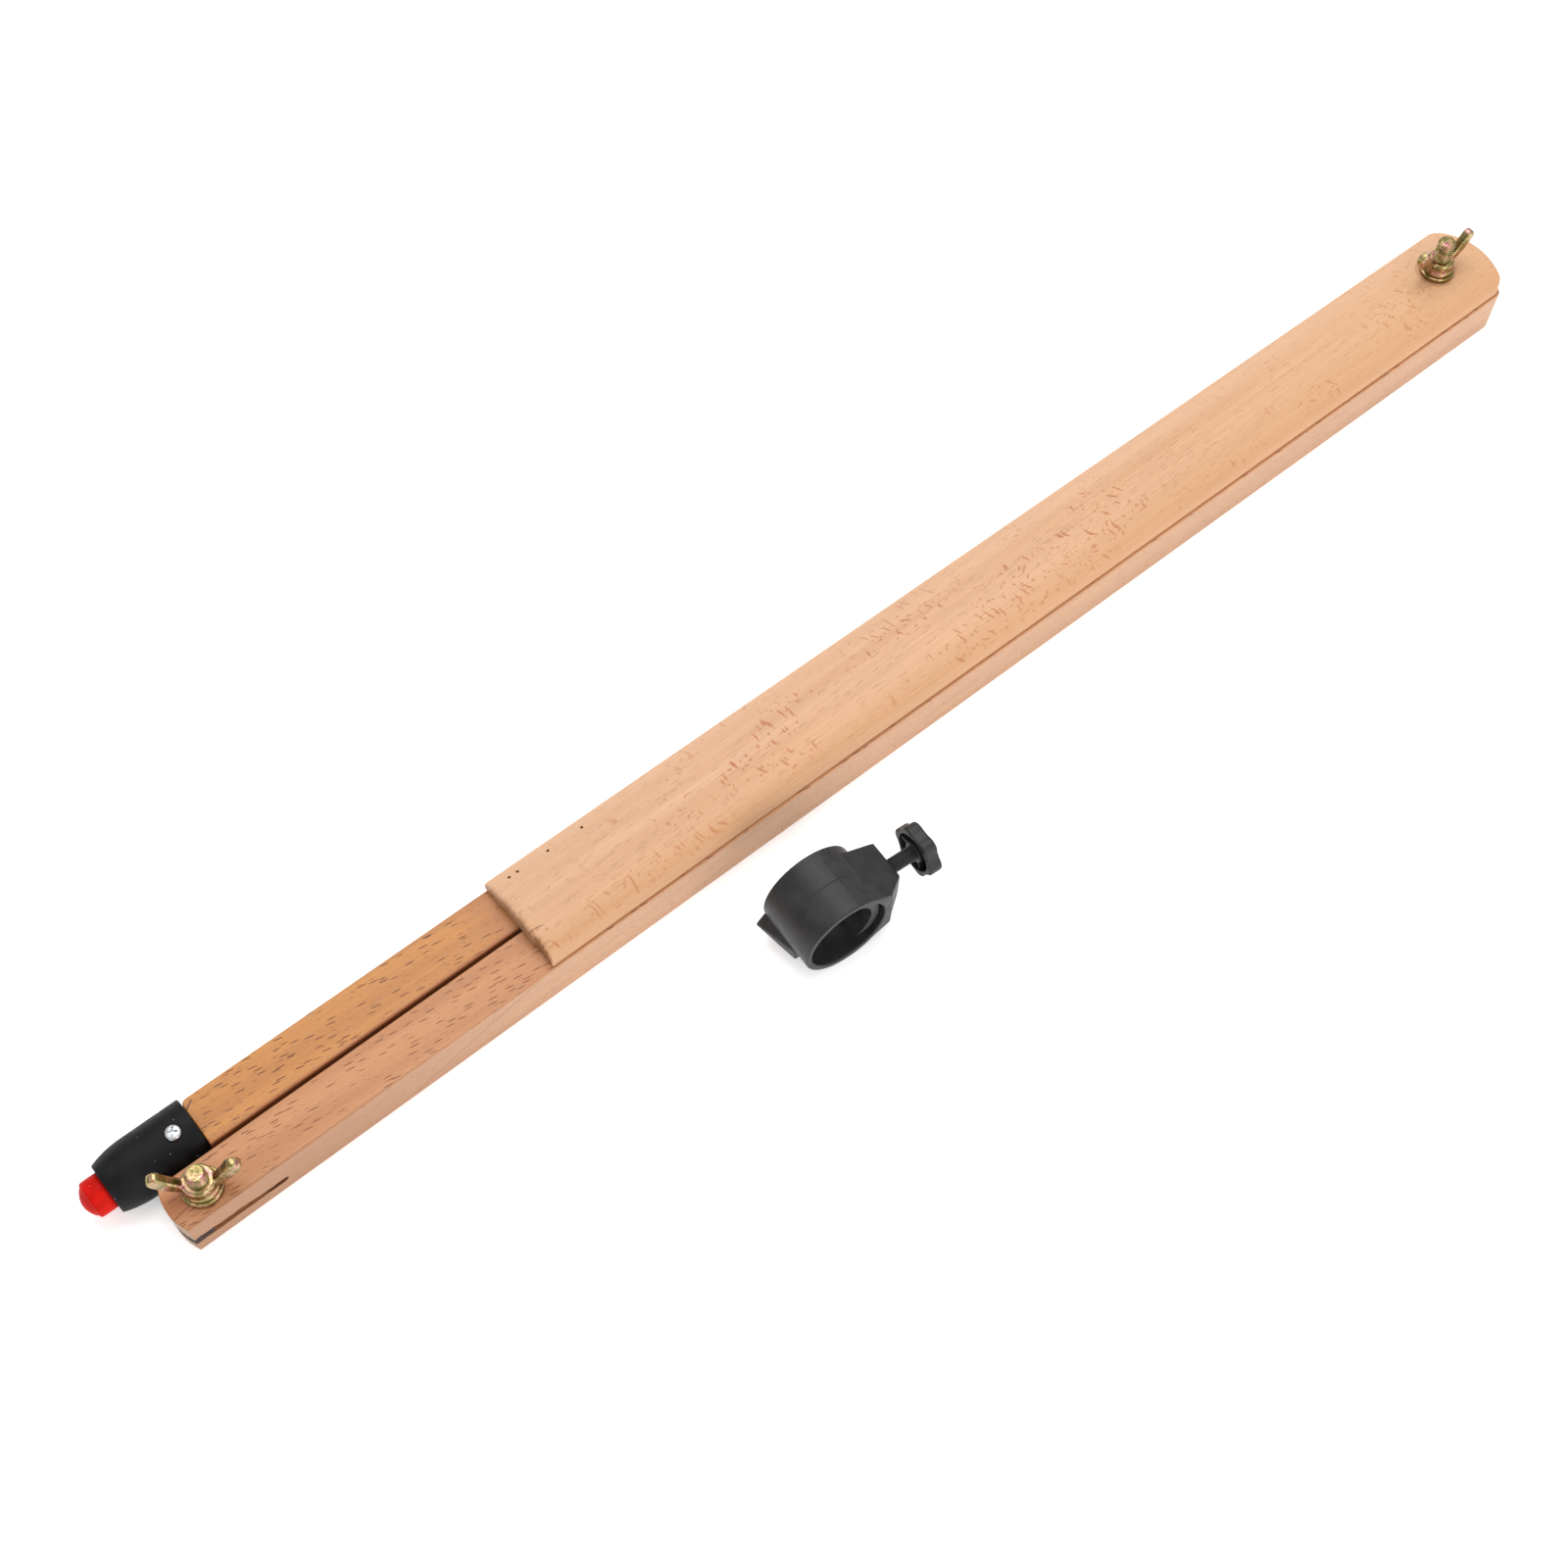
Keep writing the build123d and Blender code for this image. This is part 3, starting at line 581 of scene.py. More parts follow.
def clamp_leg_marks(tree, mm, colour):
    """Painted shade darkening the front toward the jaw, a drying check along it, another check on the jaw
    with a red-brown patch beside it, and painted shade in the kerf, grey at its tip and darkest at its end."""
    x, y, z = ruler(tree, mm)
    wander = fibre(tree, mm, (9.0, 9.0, 9.0), 0.0, 2.0)
    z_loose = sums(tree, "MULTIPLY_ADD", wander, 1.4, sums(tree, "SUBTRACT", z, 0.7))
    on_front = within(tree, y, -9.0, -7.4)
    # Painted shade: the front face is painted darker toward the jaw end, fading out by x = -120.
    front_painted_shade = product(tree, on_front, step(tree, x, -250.0, -120.0, 0.60, 0.0))
    colour = stain(tree, colour, (0.300, 0.125, 0.052), front_painted_shade)
    check = stroke(tree, z_loose, x, (-199.0, 2.0), (-155.0, 15.2), 0.16)
    colour = stain(tree, colour, (0.17, 0.065, 0.022), check, on_front, 0.85)
    faint = stroke(tree, z_loose, x, (-172.0, 1.2), (-128.0, 9.0), 0.10)
    colour = stain(tree, colour, (0.25, 0.10, 0.04), faint, on_front, 0.35)
    on_top = within(tree, z, 15.0, 17.0)
    check = stroke(tree, y, x, (-273.0, -3.1), (-266.6, -2.2), 0.22)
    colour = stain(tree, colour, (0.13, 0.045, 0.015), check, on_top, 0.9)
    patch = product(tree, within(tree, x, -273.0, -267.5, 1.5), within(tree, y, -2.4, 4.6, 1.0), on_top)
    colour = stain(tree, colour, (0.42, 0.13, 0.045), patch, 0.42)
    in_kerf = product(tree, within(tree, z, 4.7, 8.5, 0.3), within(tree, y, -7.75, 7.75, 0.1))
    # Painted shade: the kerf's faces are painted browner along the slot.
    colour = stain(tree, colour, (0.33, 0.14, 0.055), in_kerf, within(tree, x, -273.0, -238.0), 0.35)
    # Painted shade: a dark grey sheet at the tip, where only shade and the background show through the slot.
    colour = stain(tree, colour, (0.12, 0.12, 0.13), in_kerf, within(tree, x, -275.0, -265.2, 1.2), 0.8)
    # Painted shade: the kerf's blind end is painted darkest.
    kerf_end_painted_shade = product(tree, in_kerf, within(tree, x, -246.0, -238.0, 3.0))
    return stain(tree, colour, (0.10, 0.035, 0.012), kerf_end_painted_shade, 0.75)


def foot_leg_marks(tree, mm, colour):
    """Painted red-brown shade on the inner arris and face, a painted shadow by the board's end, and a nick at
    the ferrule's corner.
    """
    x, y, z = ruler(tree, mm)
    wander = fibre(tree, mm, (14.0, 0.9, 3.0), 0.0, 2.0)
    edge = sums(tree, "MULTIPLY_ADD", wander, -1.7, y)
    # Painted shade: the inner top arris, in shade beside the board's front edge, is painted red-brown.
    arris_painted_shade = product(tree, step(tree, edge, 8.4, 9.6, 1.0, 0.0), step(tree, z, 12.0, 15.0))
    colour = stain(tree, colour, (0.26, 0.062, 0.014), arris_painted_shade, 0.80)
    # Painted shade: the inner face, in the narrow gap between the legs, is painted darker.
    inner = step(tree, y, 9.25, 9.6, 1.0, 0.0)
    colour = stain(tree, colour, (0.20, 0.060, 0.018), inner, 0.55)
    nick = stroke(tree, y, x, (-252.9, 21.8), (-250.4, 23.4), 0.45)
    colour = stain(tree, colour, (0.06, 0.02, 0.008), nick, 0.9)
    # Painted shadow: the leg's top is painted darker where the board's end casts its shadow.
    board_end_painted_shadow = product(tree, step(tree, x, -166.0, -149.0), step(tree, z, 15.0, 16.0))
    return stain(tree, colour, (0.30, 0.10, 0.03), board_end_painted_shadow, 0.40)


def board_marks(tree, mm, colour):
    """Yellower toward the pivot, painted shade along the front edge and painted light along the back, a painted
    shadow left of the washer, a check at the end, and a browner torn edge."""
    x, y, z = ruler(tree, mm)
    toward_pivot = step(tree, x, 60.0, 255.0)
    colour = stain(tree, colour, (0.62, 0.34, 0.155), toward_pivot, 0.30)
    # Painted shade toward the front edge, where the crown rolls away from the light.
    colour = stain(tree, colour, (0.530, 0.262, 0.112), step(tree, y, -6.0, 9.0, 0.42, 0.0))
    # Painted light toward the back, where the crown faces the light.
    colour = stain(tree, colour, (0.700, 0.440, 0.285), step(tree, y, 13.0, 25.0, 0.0, 0.50))
    from_x = sums(tree, "SUBTRACT", x, float(PIVOT[0]))
    from_y = sums(tree, "SUBTRACT", y, float(PIVOT[1]))
    square = sums(tree, "ADD", sums(tree, "MULTIPLY", from_x, from_x), sums(tree, "MULTIPLY", from_y, from_y))
    # Painted shadow: a darker crescent on the board just left of the washer.
    ring = within(tree, sums(tree, "SQRT", square), 5.8, 7.0, 1.0)
    left_side = step(tree, from_x, -3.0, 2.0, 1.0, 0.0)
    colour = stain(tree, colour, (0.24, 0.095, 0.03), ring, left_side, 0.35)
    check = stroke(tree, y, x, (-148.6, 3.6), (-144.4, 2.9), 0.16)
    colour = stain(tree, colour, (0.16, 0.06, 0.02), check, step(tree, z, 18.0, 20.0), 0.9)
    torn = product(tree, within(tree, x, -149.0, -147.9, 0.5), within(tree, y, -6.0, 1.2, 0.8))
    return stain(tree, colour, (0.27, 0.105, 0.035), torn, 0.6)


clamp_beech = beech(
    "clamp_leg_beech", (0.520, 0.235, 0.098), (0.440, 0.184, 0.071), (0.540, 0.300, 0.166), (0.190, 0.048, 0.014),
    turn=-9.0, pore_share=0.95, fleck=(0.40, 0.16, 0.06), fleck_share=0.0, roughness=0.46, marks=clamp_leg_marks,
)
foot_beech = beech(
    "foot_leg_beech", (0.500, 0.202, 0.040), (0.400, 0.145, 0.025), (0.420, 0.160, 0.040), (0.120, 0.024, 0.005),
    turn=-9.0, pore_share=1.0, fleck=(0.35, 0.12, 0.04), fleck_share=0.0, roughness=0.38, marks=foot_leg_marks,
)
board_beech = beech(
    "board_beech", (0.615, 0.350, 0.200), (0.560, 0.302, 0.155), (0.640, 0.360, 0.200), (0.26, 0.10, 0.038),
    turn=3.0, pore_share=0.40, fleck=(0.40, 0.125, 0.034), fleck_share=0.95, roughness=0.48, marks=board_marks,
)
print("three cuts of beech are ready")

# %% [markdown]
# ## The clamp leg
#
# The front leg is one stick of beech: slim for most of its length, with a rounded head as wide as both legs
# under the pivot. All of it is the same plan shape carried straight up, so it is made as a slab with eased
# arrises. The saw kerf and the bolt holes are then taken out with cutters, as they are in the workshop. The
# kerf's roof wanders and its blind end is ragged, because the strip between the cuts was broken out.

# %% Cut the clamp leg to shape
LEG_HALF = (high("clamp_leg")[0] - low("clamp_leg")[0]) / 2
LEG_FRONT = low("clamp_leg")[1]
LEG_BACK = -LEG_FRONT
HEAD_BACK = high("clamp_leg")[1]
BOARD_MID = (low("handle_board") + high("handle_board"))[1] / 2
TIP_BOW, END_BOW = 1.8, 4.2
KNUCKLE = math.hypot(LEG_HALF - END_BOW - PIVOT[0], PIVOT[1] - LEG_FRONT) - 0.3


def knuckle_arc(radius, y_start, y_end):
    """The arc about the pivot, on the side toward the legs, between two values of Y."""
    start, end = (math.asin((y - PIVOT[1]) / radius) for y in (y_start, y_end))
    return PIVOT - radius * circle(-np.linspace(start, end, 20))


shoulder = knuckle_arc(KNUCKLE, LEG_BACK, HEAD_BACK)
end_x = LEG_HALF - END_BOW
end_arc = arc((end_x, HEAD_BACK), (LEG_HALF, BOARD_MID), (end_x, LEG_FRONT), 28)
tip_x = -LEG_HALF + TIP_BOW
leg_shape = outline(
    line((tip_x, LEG_BACK), shoulder[0]),
    shoulder,
    line(shoulder[-1], (end_x - 2.6, HEAD_BACK)),
    ease_corner((end_x - 9, HEAD_BACK), (end_x, HEAD_BACK), end_arc[3], 2.6),
    end_arc[3:-3],
    ease_corner(end_arc[-4], (end_x, LEG_FRONT), (end_x - 9, LEG_FRONT), 2.6),
    line((end_x - 2.6, LEG_FRONT), (tip_x, LEG_FRONT)),
    arc((tip_x, LEG_FRONT), (-LEG_HALF, 0), (tip_x, LEG_BACK), 18),
)
clamp_leg = slab("clamp_leg_beech", leg_shape, 0.0, LEG_TOP, 0.45)


# %% Saw the kerf and drill the holes
def wander(x, y, *waves):
    """A sum of sine waves, each (length in mm along x, length along y, height, start)."""
    total = np.zeros(np.broadcast(x, y).shape)
    for along, across, height, start in waves:
        total = total + height * np.sin(math.tau * (x / along + y / across) + start)
    return total


KERF_LOW, KERF_HIGH, KERF_END = 4.9, 8.2, -LEG_HALF + 32.0


def kerf_cutter():
    """A flat blade of air: x runs from outside the tip to the blind end, y across the leg. The roof is
    z = 8.2 - narrowing + waves and the end is x = end + ragged teeth that change with y and with z."""
    share = np.linspace(0, 1, 61)[:, None]
    y = np.linspace(LEG_FRONT - 1, LEG_BACK + 1, 37)[None]
    teeth = wander(y, 0 * y, (2.3, 1e9, 0.7, 0.4), (1.1, 1e9, 0.35, 2.0), (5.7, 1e9, 0.8, 1.1))
    sheets = []
    for level, lean in ((KERF_LOW, 1.2), (KERF_LOW + 1.3, -0.4), (KERF_HIGH - 0.6, 0.9), (KERF_HIGH, -1.6)):
        end = KERF_END + 0.4 + teeth * (0.5 + 0.3 * lean) - abs(lean) * 0.5
        x = -LEG_HALF - 2.0 + (end + LEG_HALF + 2.0) * share
        z = level + 0 * x
        closing = 1.3 * np.clip((x + LEG_HALF - 6) / 22, 0, 1) ** 1.4
        if level == KERF_HIGH:
            z = z - closing + wander(x, y, (13.0, 60.0, 0.16, 0.3), (4.1, 21.0, 0.10, 1.0), (2.2, 9.0, 0.05, 2.0))
        if level == KERF_HIGH - 0.6:
            z = z - closing
        if level == KERF_LOW:
            z = z + wander(x, y, (9.0, 35.0, 0.07, 0.8), (3.3, 12.0, 0.05, 0.1))
        sheets.append(np.stack([x, np.broadcast_to(y, x.shape), z], -1))
    ring = np.stack(sheets)
    wide = ring.shape[2]
    loop = np.concatenate([
        ring[0],
        ring[1:-1, -1],
        ring[-1, ::-1],
        ring[-2:0:-1, 0],
    ])
    count = len(loop)
    faces = grid_faces(count, wide, close_rows=True, close_columns=False).tolist()
    for side in (0, wide - 1):
        faces.append([row * wide + side for row in range(count)])
    return make_object("kerf_cutter", loop.reshape(-1, 3), faces)


NECK_TOP, NECK_SIDE = 4.5, 6.2
BOLT_SEAT, HEAD_ROOM = 2.4, 0.4
BOLT_HOLE = 3.3
PIVOT_HEAD = (high("pivot_bolt") - low("pivot_bolt"))[0] / 2
CLAMP_HEAD = (high("clamp_bolt") - low("clamp_bolt"))[0] / 2
carve(
    clamp_leg,
    kerf_cutter(),
    drill(PIVOT, BOLT_HOLE, 1.0, LEG_TOP + 1),
    drill(CLAMP, BOLT_HOLE, 1.0, LEG_TOP + 1),
    square_cutter(PIVOT, NECK_SIDE, -1.0, NECK_TOP),
    square_cutter(CLAMP, NECK_SIDE, -1.0, NECK_TOP),
    drill(PIVOT, PIVOT_HEAD + HEAD_ROOM, -1.0, BOLT_SEAT, 64),
    drill(CLAMP, CLAMP_HEAD + HEAD_ROOM, -1.0, BOLT_SEAT, 64),
)
finish_piece(clamp_leg, "clamp_arm", "clamp_leg", clamp_beech, "clamp_leg", crease=24, weighted=True)

# %% [markdown]
# ## The foot leg
#
# The back leg is a square stick with a hollow end that clears the knuckle of the other leg, and a turned tenon
# that fills the ferrule. Its corner at the ferrule is rubbed round. The tenon is turned on its own and then
# joined on, exactly as it would be if the leg were repaired.

# %% Cut the foot leg
LEG_GAP, LEG_WIDTH, TENON_LENGTH = 1.2, 16.0, 19.0
FOOT_NEAR = LEG_BACK + LEG_GAP
FOOT_FAR = FOOT_NEAR + LEG_WIDTH
BOARD_FLOOR = low("handle_board")[2]
MOUTH = high("foot_ferrule")[0]
AXIS_Y, AXIS_Z = ((low("foot_ferrule") + high("foot_ferrule")) / 2)[1:]
hollow = knuckle_arc(KNUCKLE + 0.4, FOOT_NEAR, FOOT_FAR)
foot_shape = outline(
    line((MOUTH, FOOT_NEAR), hollow[0]),
    hollow,
    line(hollow[-1], (MOUTH + 2.2, FOOT_FAR)),
    ease_corner((MOUTH + 9, FOOT_FAR), (MOUTH, FOOT_FAR), (MOUTH, FOOT_NEAR), 2.2),
    line((MOUTH, FOOT_FAR - 2.2), (MOUTH, FOOT_NEAR)),
)
foot_leg = slab("foot_leg_beech", foot_shape, 0.0, BOARD_FLOOR, 0.5)


def along_axis(points):
    """Sets a turned piece, whose height is X in the frame, on the ferrule's axis."""
    return set_in(points, (0, AXIS_Y, AXIS_Z), (0, 1, 0), (0, 0, 1), (1, 0, 0))


def turned_on_axis(name, radius, x, columns=72):
    """A profile of radius and x spun round the ferrule's axis, with its poles closed by merging."""
    points = along_axis(spun(radius, x, around(columns)))
    return make_object(name, points, grid_faces(len(radius), columns))


tenon = turned_on_axis("tenon", *rows(
    (0, MOUTH - TENON_LENGTH), (5.2, MOUTH - TENON_LENGTH), (6.0, MOUTH - 18.2), (6.0, MOUTH + 1.0), (0, MOUTH + 1.0),
))


combine(foot_leg, tenon, "UNION")
finish_piece(foot_leg, "foot_arm", "foot_leg", foot_beech, "foot_leg", crease=24, weighted=True)

# %% [markdown]
# ## The handle board
#
# The board's section is a low crown that rolls over a soft front edge, and its plan has a bowed far end. So
# it is that section carried along the length, with each row of points following the bow. The rows crowd
# together at the near end, where the edge was eased by hand and the fibres tore out beside the front corner.

# %% Section and ends of the board
BOARD_LEFT, BOARD_FRONT = low("handle_board")[:2]
BOARD_BACK, BOARD_TOP = high("handle_board")[1:]
EASE = 1.7


def board_section():
    """Y and Z from the front foot of the board over its crown to the back foot. The walls lean in a hair."""
    front_roll = arc(
        (BOARD_FRONT, BOARD_FLOOR + 0.6), (BOARD_FRONT + 1.3, BOARD_TOP - 2.9),
        (BOARD_FRONT + 4.4, BOARD_TOP - 1.1), 14,
    )
    crown = arc((BOARD_FRONT + 4.4, BOARD_TOP - 1.1), (BOARD_MID, BOARD_TOP), (BOARD_BACK, BOARD_TOP - 3.0), 61)
    back_roll = ease_corner(crown[-4], crown[-1], (BOARD_BACK, BOARD_FLOOR), 0.9, 6)
    front_foot = np.array([(BOARD_FRONT, BOARD_FLOOR), (BOARD_FRONT, BOARD_FLOOR + 0.3)])
    back_foot = np.array([(BOARD_BACK, BOARD_FLOOR + 1.0), (BOARD_BACK, BOARD_FLOOR)])
    shape = np.concatenate([front_foot, front_roll, crown[1:-2], back_roll, back_foot])
    lean = 0.02 * (shape[:, 1] - BOARD_FLOOR) / (BOARD_BACK - BOARD_FRONT)
    shape[:, 0] += (BOARD_MID - shape[:, 0]) * lean
    return shape


def far_end(y):
    """X of the bowed far end at each y: the arc through the two shoulders and the crown, its corners eased."""
    sag, half = END_BOW, (HEAD_BACK - LEG_FRONT) / 2
    radius = (half ** 2 + sag ** 2) / (2 * sag)
    bow = LEG_HALF - radius + np.sqrt(radius ** 2 - (y - BOARD_MID) ** 2)
    to_edge = np.minimum(y - BOARD_FRONT, BOARD_BACK - y)
    corner = np.clip(1 - to_edge / 3.0, 0, 1)
    return bow - 2.4 * corner ** 2


def near_end(y, top):
    """X of the near end: straight, a little uneven, and torn beside the front corner, deepest along the top."""
    uneven = 0.10 * np.sin(y * 0.9 + 0.4) + 0.06 * np.sin(y * 2.9)
    zone = np.clip(1 - np.abs(y + 1.6) / 3.4, 0, 1) ** 0.5
    teeth = 0.5 + 0.5 * np.sin(y * 7.1 + 1.0) * np.sin(y * 3.3) + 0.35 * np.sin(y * 13.0)
    corner = 0.9 * np.clip(1 - (y - BOARD_FRONT) / 1.6, 0, 1) ** 2
    return BOARD_LEFT + 0.17 + uneven + zone * (0.25 + 0.85 * top * np.clip(teeth, 0, 1.4)) + corner * top


# %% Carry the section along the board
section = board_section()
count = len(section)
ease_rows = EASE * (1 - np.cos(np.linspace(0, math.pi / 2, 9)))
travel = np.concatenate([
    ease_rows, np.linspace(2.2, 8.0, 12), np.linspace(12.0, 388.0, 95), np.linspace(390.0, 412.0, 45),
    np.linspace(413.5, 419.4, 7), [420.2, 420.6, 420.9],
]) / 420.9


def board_rows():
    """Each row's X goes from the near end to the far end by its share of the travel, and its Z is the
    section's, less a quarter round at the near end, a smaller one at the far end and the washer's seat."""
    y, z = section.T
    top = (z - BOARD_FLOOR) / (BOARD_TOP - BOARD_FLOOR)
    start, stop = near_end(y, top), far_end(y)
    x = start + (stop - start) * travel[:, None]
    from_start = np.clip(x - start, 0, EASE)
    near_drop = EASE - np.sqrt(EASE ** 2 - (EASE - from_start) ** 2)
    from_stop = np.clip(stop - x, 0, 0.6)
    far_drop = 0.6 - np.sqrt(0.36 - (0.6 - from_stop) ** 2)
    rolled = z - (near_drop + far_drop) * top
    away = np.hypot(x - PIVOT[0], y - PIVOT[1])
    seat = low("pivot_washer")[2]
    pressed = np.where(away < 6.9, np.minimum(rolled, seat + np.clip(away - 6.2, 0, 1) * 0.5), rolled)
    upper = np.stack([x, np.broadcast_to(y, x.shape), pressed], -1)
    start = near_end(y, 0)
    x = start + (stop - start) * travel[:, None]
    lower = np.stack([x, np.broadcast_to(y, x.shape), np.full(x.shape, BOARD_FLOOR)], -1)
    return upper, lower


upper, lower = board_rows()
board_loop = np.concatenate([upper, lower[:, -2:0:-1]], axis=1)
around_board = 2 * count - 2
board_faces = grid_faces(len(travel), around_board).tolist()
for row in (0, len(travel) - 1):
    first = row * around_board
    over = np.arange(1, count - 2)
    caps = first + np.stack([over, over + 1, around_board - over - 1, around_board - over], -1)
    board_faces += caps.tolist()
    board_faces += [[first, first + 1, first + around_board - 1]]
    board_faces += [[first + count - 2, first + count - 1, first + count]]
board = make_object("handle_board_beech", board_loop.reshape(-1, 3), board_faces)

# %% Drill the bolt hole and the brads' pits
BRAD_STEPS = np.array([6.6, 9.6, 20.6, 33.1])
BRAD_Y = BOARD_BACK - 3.7
pits = [drill((BOARD_LEFT + along, BRAD_Y), 0.52, BOARD_FLOOR + 3.3, BOARD_TOP + 1, 16) for along in BRAD_STEPS]
carve(board, drill(PIVOT, BOLT_HOLE, BOARD_FLOOR - 1, BOARD_TOP + 1), *pits)
finish_piece(board, "foot_arm", "handle_board", board_beech, "handle_board", crease=28)

# %% [markdown]
# ## Yellow zinc and bare zinc
#
# The bolts, washers and wing nuts are steel with a yellow passivated zinc coat. The film is so thin that it
# shows colours, from straw through pink to green, in patches a few millimetres wide. A metal shader whose
# colour drifts between those tones with a soft noise gives the same look from every side.

# %% Metal and plastic finishes
def plated(name, tones, patch, roughness):
    """Metal whose colour drifts between the tones as a soft noise rises, with fine scratches in its gloss."""
    finish, tree, shader = new_finish(name, Metallic=1.0)
    mm = in_mm(tree)
    drift = fibre(tree, mm, (patch, patch, patch), 0.0, 2.0)
    colour = tones[0]
    for place, tone in zip(np.linspace(0.36, 0.62, len(tones) - 1), tones[1:]):
        colour = mix(tree, step(tree, drift, float(place) - 0.06, float(place) + 0.06), colour, tone)
    grime = fibre(tree, mm, (0.7, 0.7, 0.7), 0.0, 3.0)
    colour = mix(tree, step(tree, grime, 0.50, 0.70, 0.0, 0.60), colour, (0.10, 0.06, 0.03))
    tree.links.new(colour, shader.inputs["Base Color"])
    rough = step(tree, grime, 0.3, 0.7, roughness, roughness + 0.2)
    tree.links.new(rough, shader.inputs["Roughness"])
    relief(tree, shader, grime, 0.03, 0.4)
    return finish


def moulded(name, colour, roughness, speck, speck_share, grit, gloss):
    """Moulded plastic or rubber: a slightly mottled colour, a fine grit, and scattered specks of dust."""
    finish, tree, shader = new_finish(name, Roughness=roughness, Specular_IOR_Level=gloss)
    mm = in_mm(tree)
    cloud = fibre(tree, mm, (5.0, 5.0, 5.0), 0.0, 3.0)
    pale = tuple(min(1.0, c * 1.35 + 0.004) for c in colour)
    shade = mix(tree, step(tree, cloud, 0.35, 0.7), colour, pale)
    dust = dashes(tree, mm, (1.9, 1.9, 1.9), 0.085, 0.0, 0.4)
    few = step(tree, fibre(tree, mm, (4.0, 4.0, 4.0), 0.0, 1.0, (9.0, 2.0, 5.0)), 0.52, 0.58)
    shade = mix(tree, product(tree, dust, few, speck_share), shade, speck)
    tree.links.new(shade, shader.inputs["Base Color"])
    fine = fibre(tree, mm, (0.35, 0.35, 0.35), 0.0, 2.0)
    rough = step(tree, cloud, 0.3, 0.7, roughness - 0.06, roughness + 0.08)
    tree.links.new(rough, shader.inputs["Roughness"])
    relief(tree, shader, fine, grit, 0.5)
    return finish


yellow_zinc = plated(
    "yellow_zinc", [(0.36, 0.22, 0.075), (0.25, 0.22, 0.080), (0.50, 0.35, 0.18), (0.50, 0.22, 0.21)], 3.0, 0.20,
)
bright_zinc = plated("bright_zinc", [(0.42, 0.44, 0.46), (0.66, 0.68, 0.70)], 1.2, 0.18)
brad_steel = plated("brad_steel", [(0.16, 0.14, 0.13), (0.24, 0.21, 0.19)], 0.6, 0.45)
ferrule_plastic = moulded(
    "ferrule_plastic", (0.0036, 0.0036, 0.0045), 0.56, (0.62, 0.62, 0.68), 0.75, grit=0.03, gloss=0.18,
)
ring_plastic = moulded("ring_plastic", (0.0180, 0.0180, 0.0186), 0.46, (0.30, 0.30, 0.30), 0.35, grit=0.02, gloss=0.30)
red_rubber = moulded("red_rubber", (0.49, 0.0045, 0.0012), 0.55, (0.95, 0.40, 0.30), 0.9, grit=0.02, gloss=0.08)
rubber_sockets = red_rubber.node_tree.nodes["Principled BSDF"].inputs
rubber_sockets["Subsurface Weight"].default_value = 0.05
rubber_sockets["Subsurface Scale"].default_value = 2 * MM
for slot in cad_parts["board_brads"].material_slots:
    slot.material = brad_steel
print("metal, plastic and rubber finishes are ready")

# %% [markdown]
# ## Bolts with real threads
#
# A thread is a ridge that climbs one pitch for each turn. On a grid of height and angle that is one line of
# arithmetic: the ridge depends only on height / pitch - angle / turn, so its fraction tells how far a point
# is from the crest. The same grid squares off below for the neck and swells into the mushroom head, so the
# whole bolt is a single closed surface. Both bolts are made by the same function.

# %% Turn the two bolts
def thread_ridge(height, angle, pitch):
    """Rise of the thread from 0 at the root to 1 on its flat crest, from the fraction of the screw's turn."""
    part = (height / pitch - angle / math.tau) % 1.0
    return np.clip(1.55 * (1 - np.abs(2 * part - 1)) - 0.15, 0, 1)


PITCH, CREST, ROOT, NECK_HALF, TOP_EASE = 1.0, 3.0, 2.48, 3.0, 0.62


def bolt(name, node, place, body):
    """Rows of (radius, height) from the head's pole, over the square neck, up the thread to the top's pole."""
    bottom, top = low(node)[2], high(node)[2]
    head = (high(node) - low(node))[0] / 2
    angle = around(60)
    dome = np.linspace(0, math.pi / 2, 9)[:, None]
    neck_top = NECK_TOP - 0.1
    dome_height = (BOLT_SEAT - bottom) * 0.72
    parts = [
        (np.sin(dome) * head, bottom + dome_height * (1 - np.cos(dome))),
        rows((head, BOLT_SEAT)),
    ]
    square = NECK_HALF / np.maximum(np.abs(np.cos(angle)), np.abs(np.sin(angle)))
    square = np.minimum(square, NECK_HALF * 1.36)
    neck_rows = np.stack([square, square, np.full(60, CREST)])
    parts.append((neck_rows, np.array([BOLT_SEAT, neck_top - 0.3, neck_top])[:, None]))
    heights = np.arange(neck_top + 0.5, top - 0.02, PITCH / 11)[:, None] + 0 * angle
    fade = np.clip((heights - neck_top - 1.5) / 1.5, 0, 1)
    ridge = thread_ridge(heights, angle, PITCH)
    radius = CREST - (CREST - ROOT) * (1 - ridge) * fade
    radius = np.minimum(radius, CREST - TOP_EASE + np.clip(top - heights, 0, TOP_EASE))
    rim = CREST - 0.66
    cap = rows((rim, top - 0.04), (rim * 0.86, top), (rim * 0.5, top - 0.03), (0.0, top - 0.05))
    points, count = spin_parts([*parts, (radius, heights), cap], angle)
    made = make_object(name, standing(points, place), grid_faces(count, 60))
    return finish_piece(made, body, "yellow_zinc", yellow_zinc, node, crease=50)


bolt("pivot_bolt_threaded", "pivot_bolt", PIVOT, "clamp_arm")
bolt("clamp_bolt_threaded", "clamp_bolt", CLAMP, "clamp_arm")

# %% [markdown]
# ## Washers
#
# A stamped washer is not a plain ring. The press leaves its upper edge rounded and its lower edge sharp, and
# draws the face down a little toward the bore.

# %% Stamp the washers
WASHER_BORE, RIM_ROLL, BORE_ROLL = 3.2, 0.45, 0.3


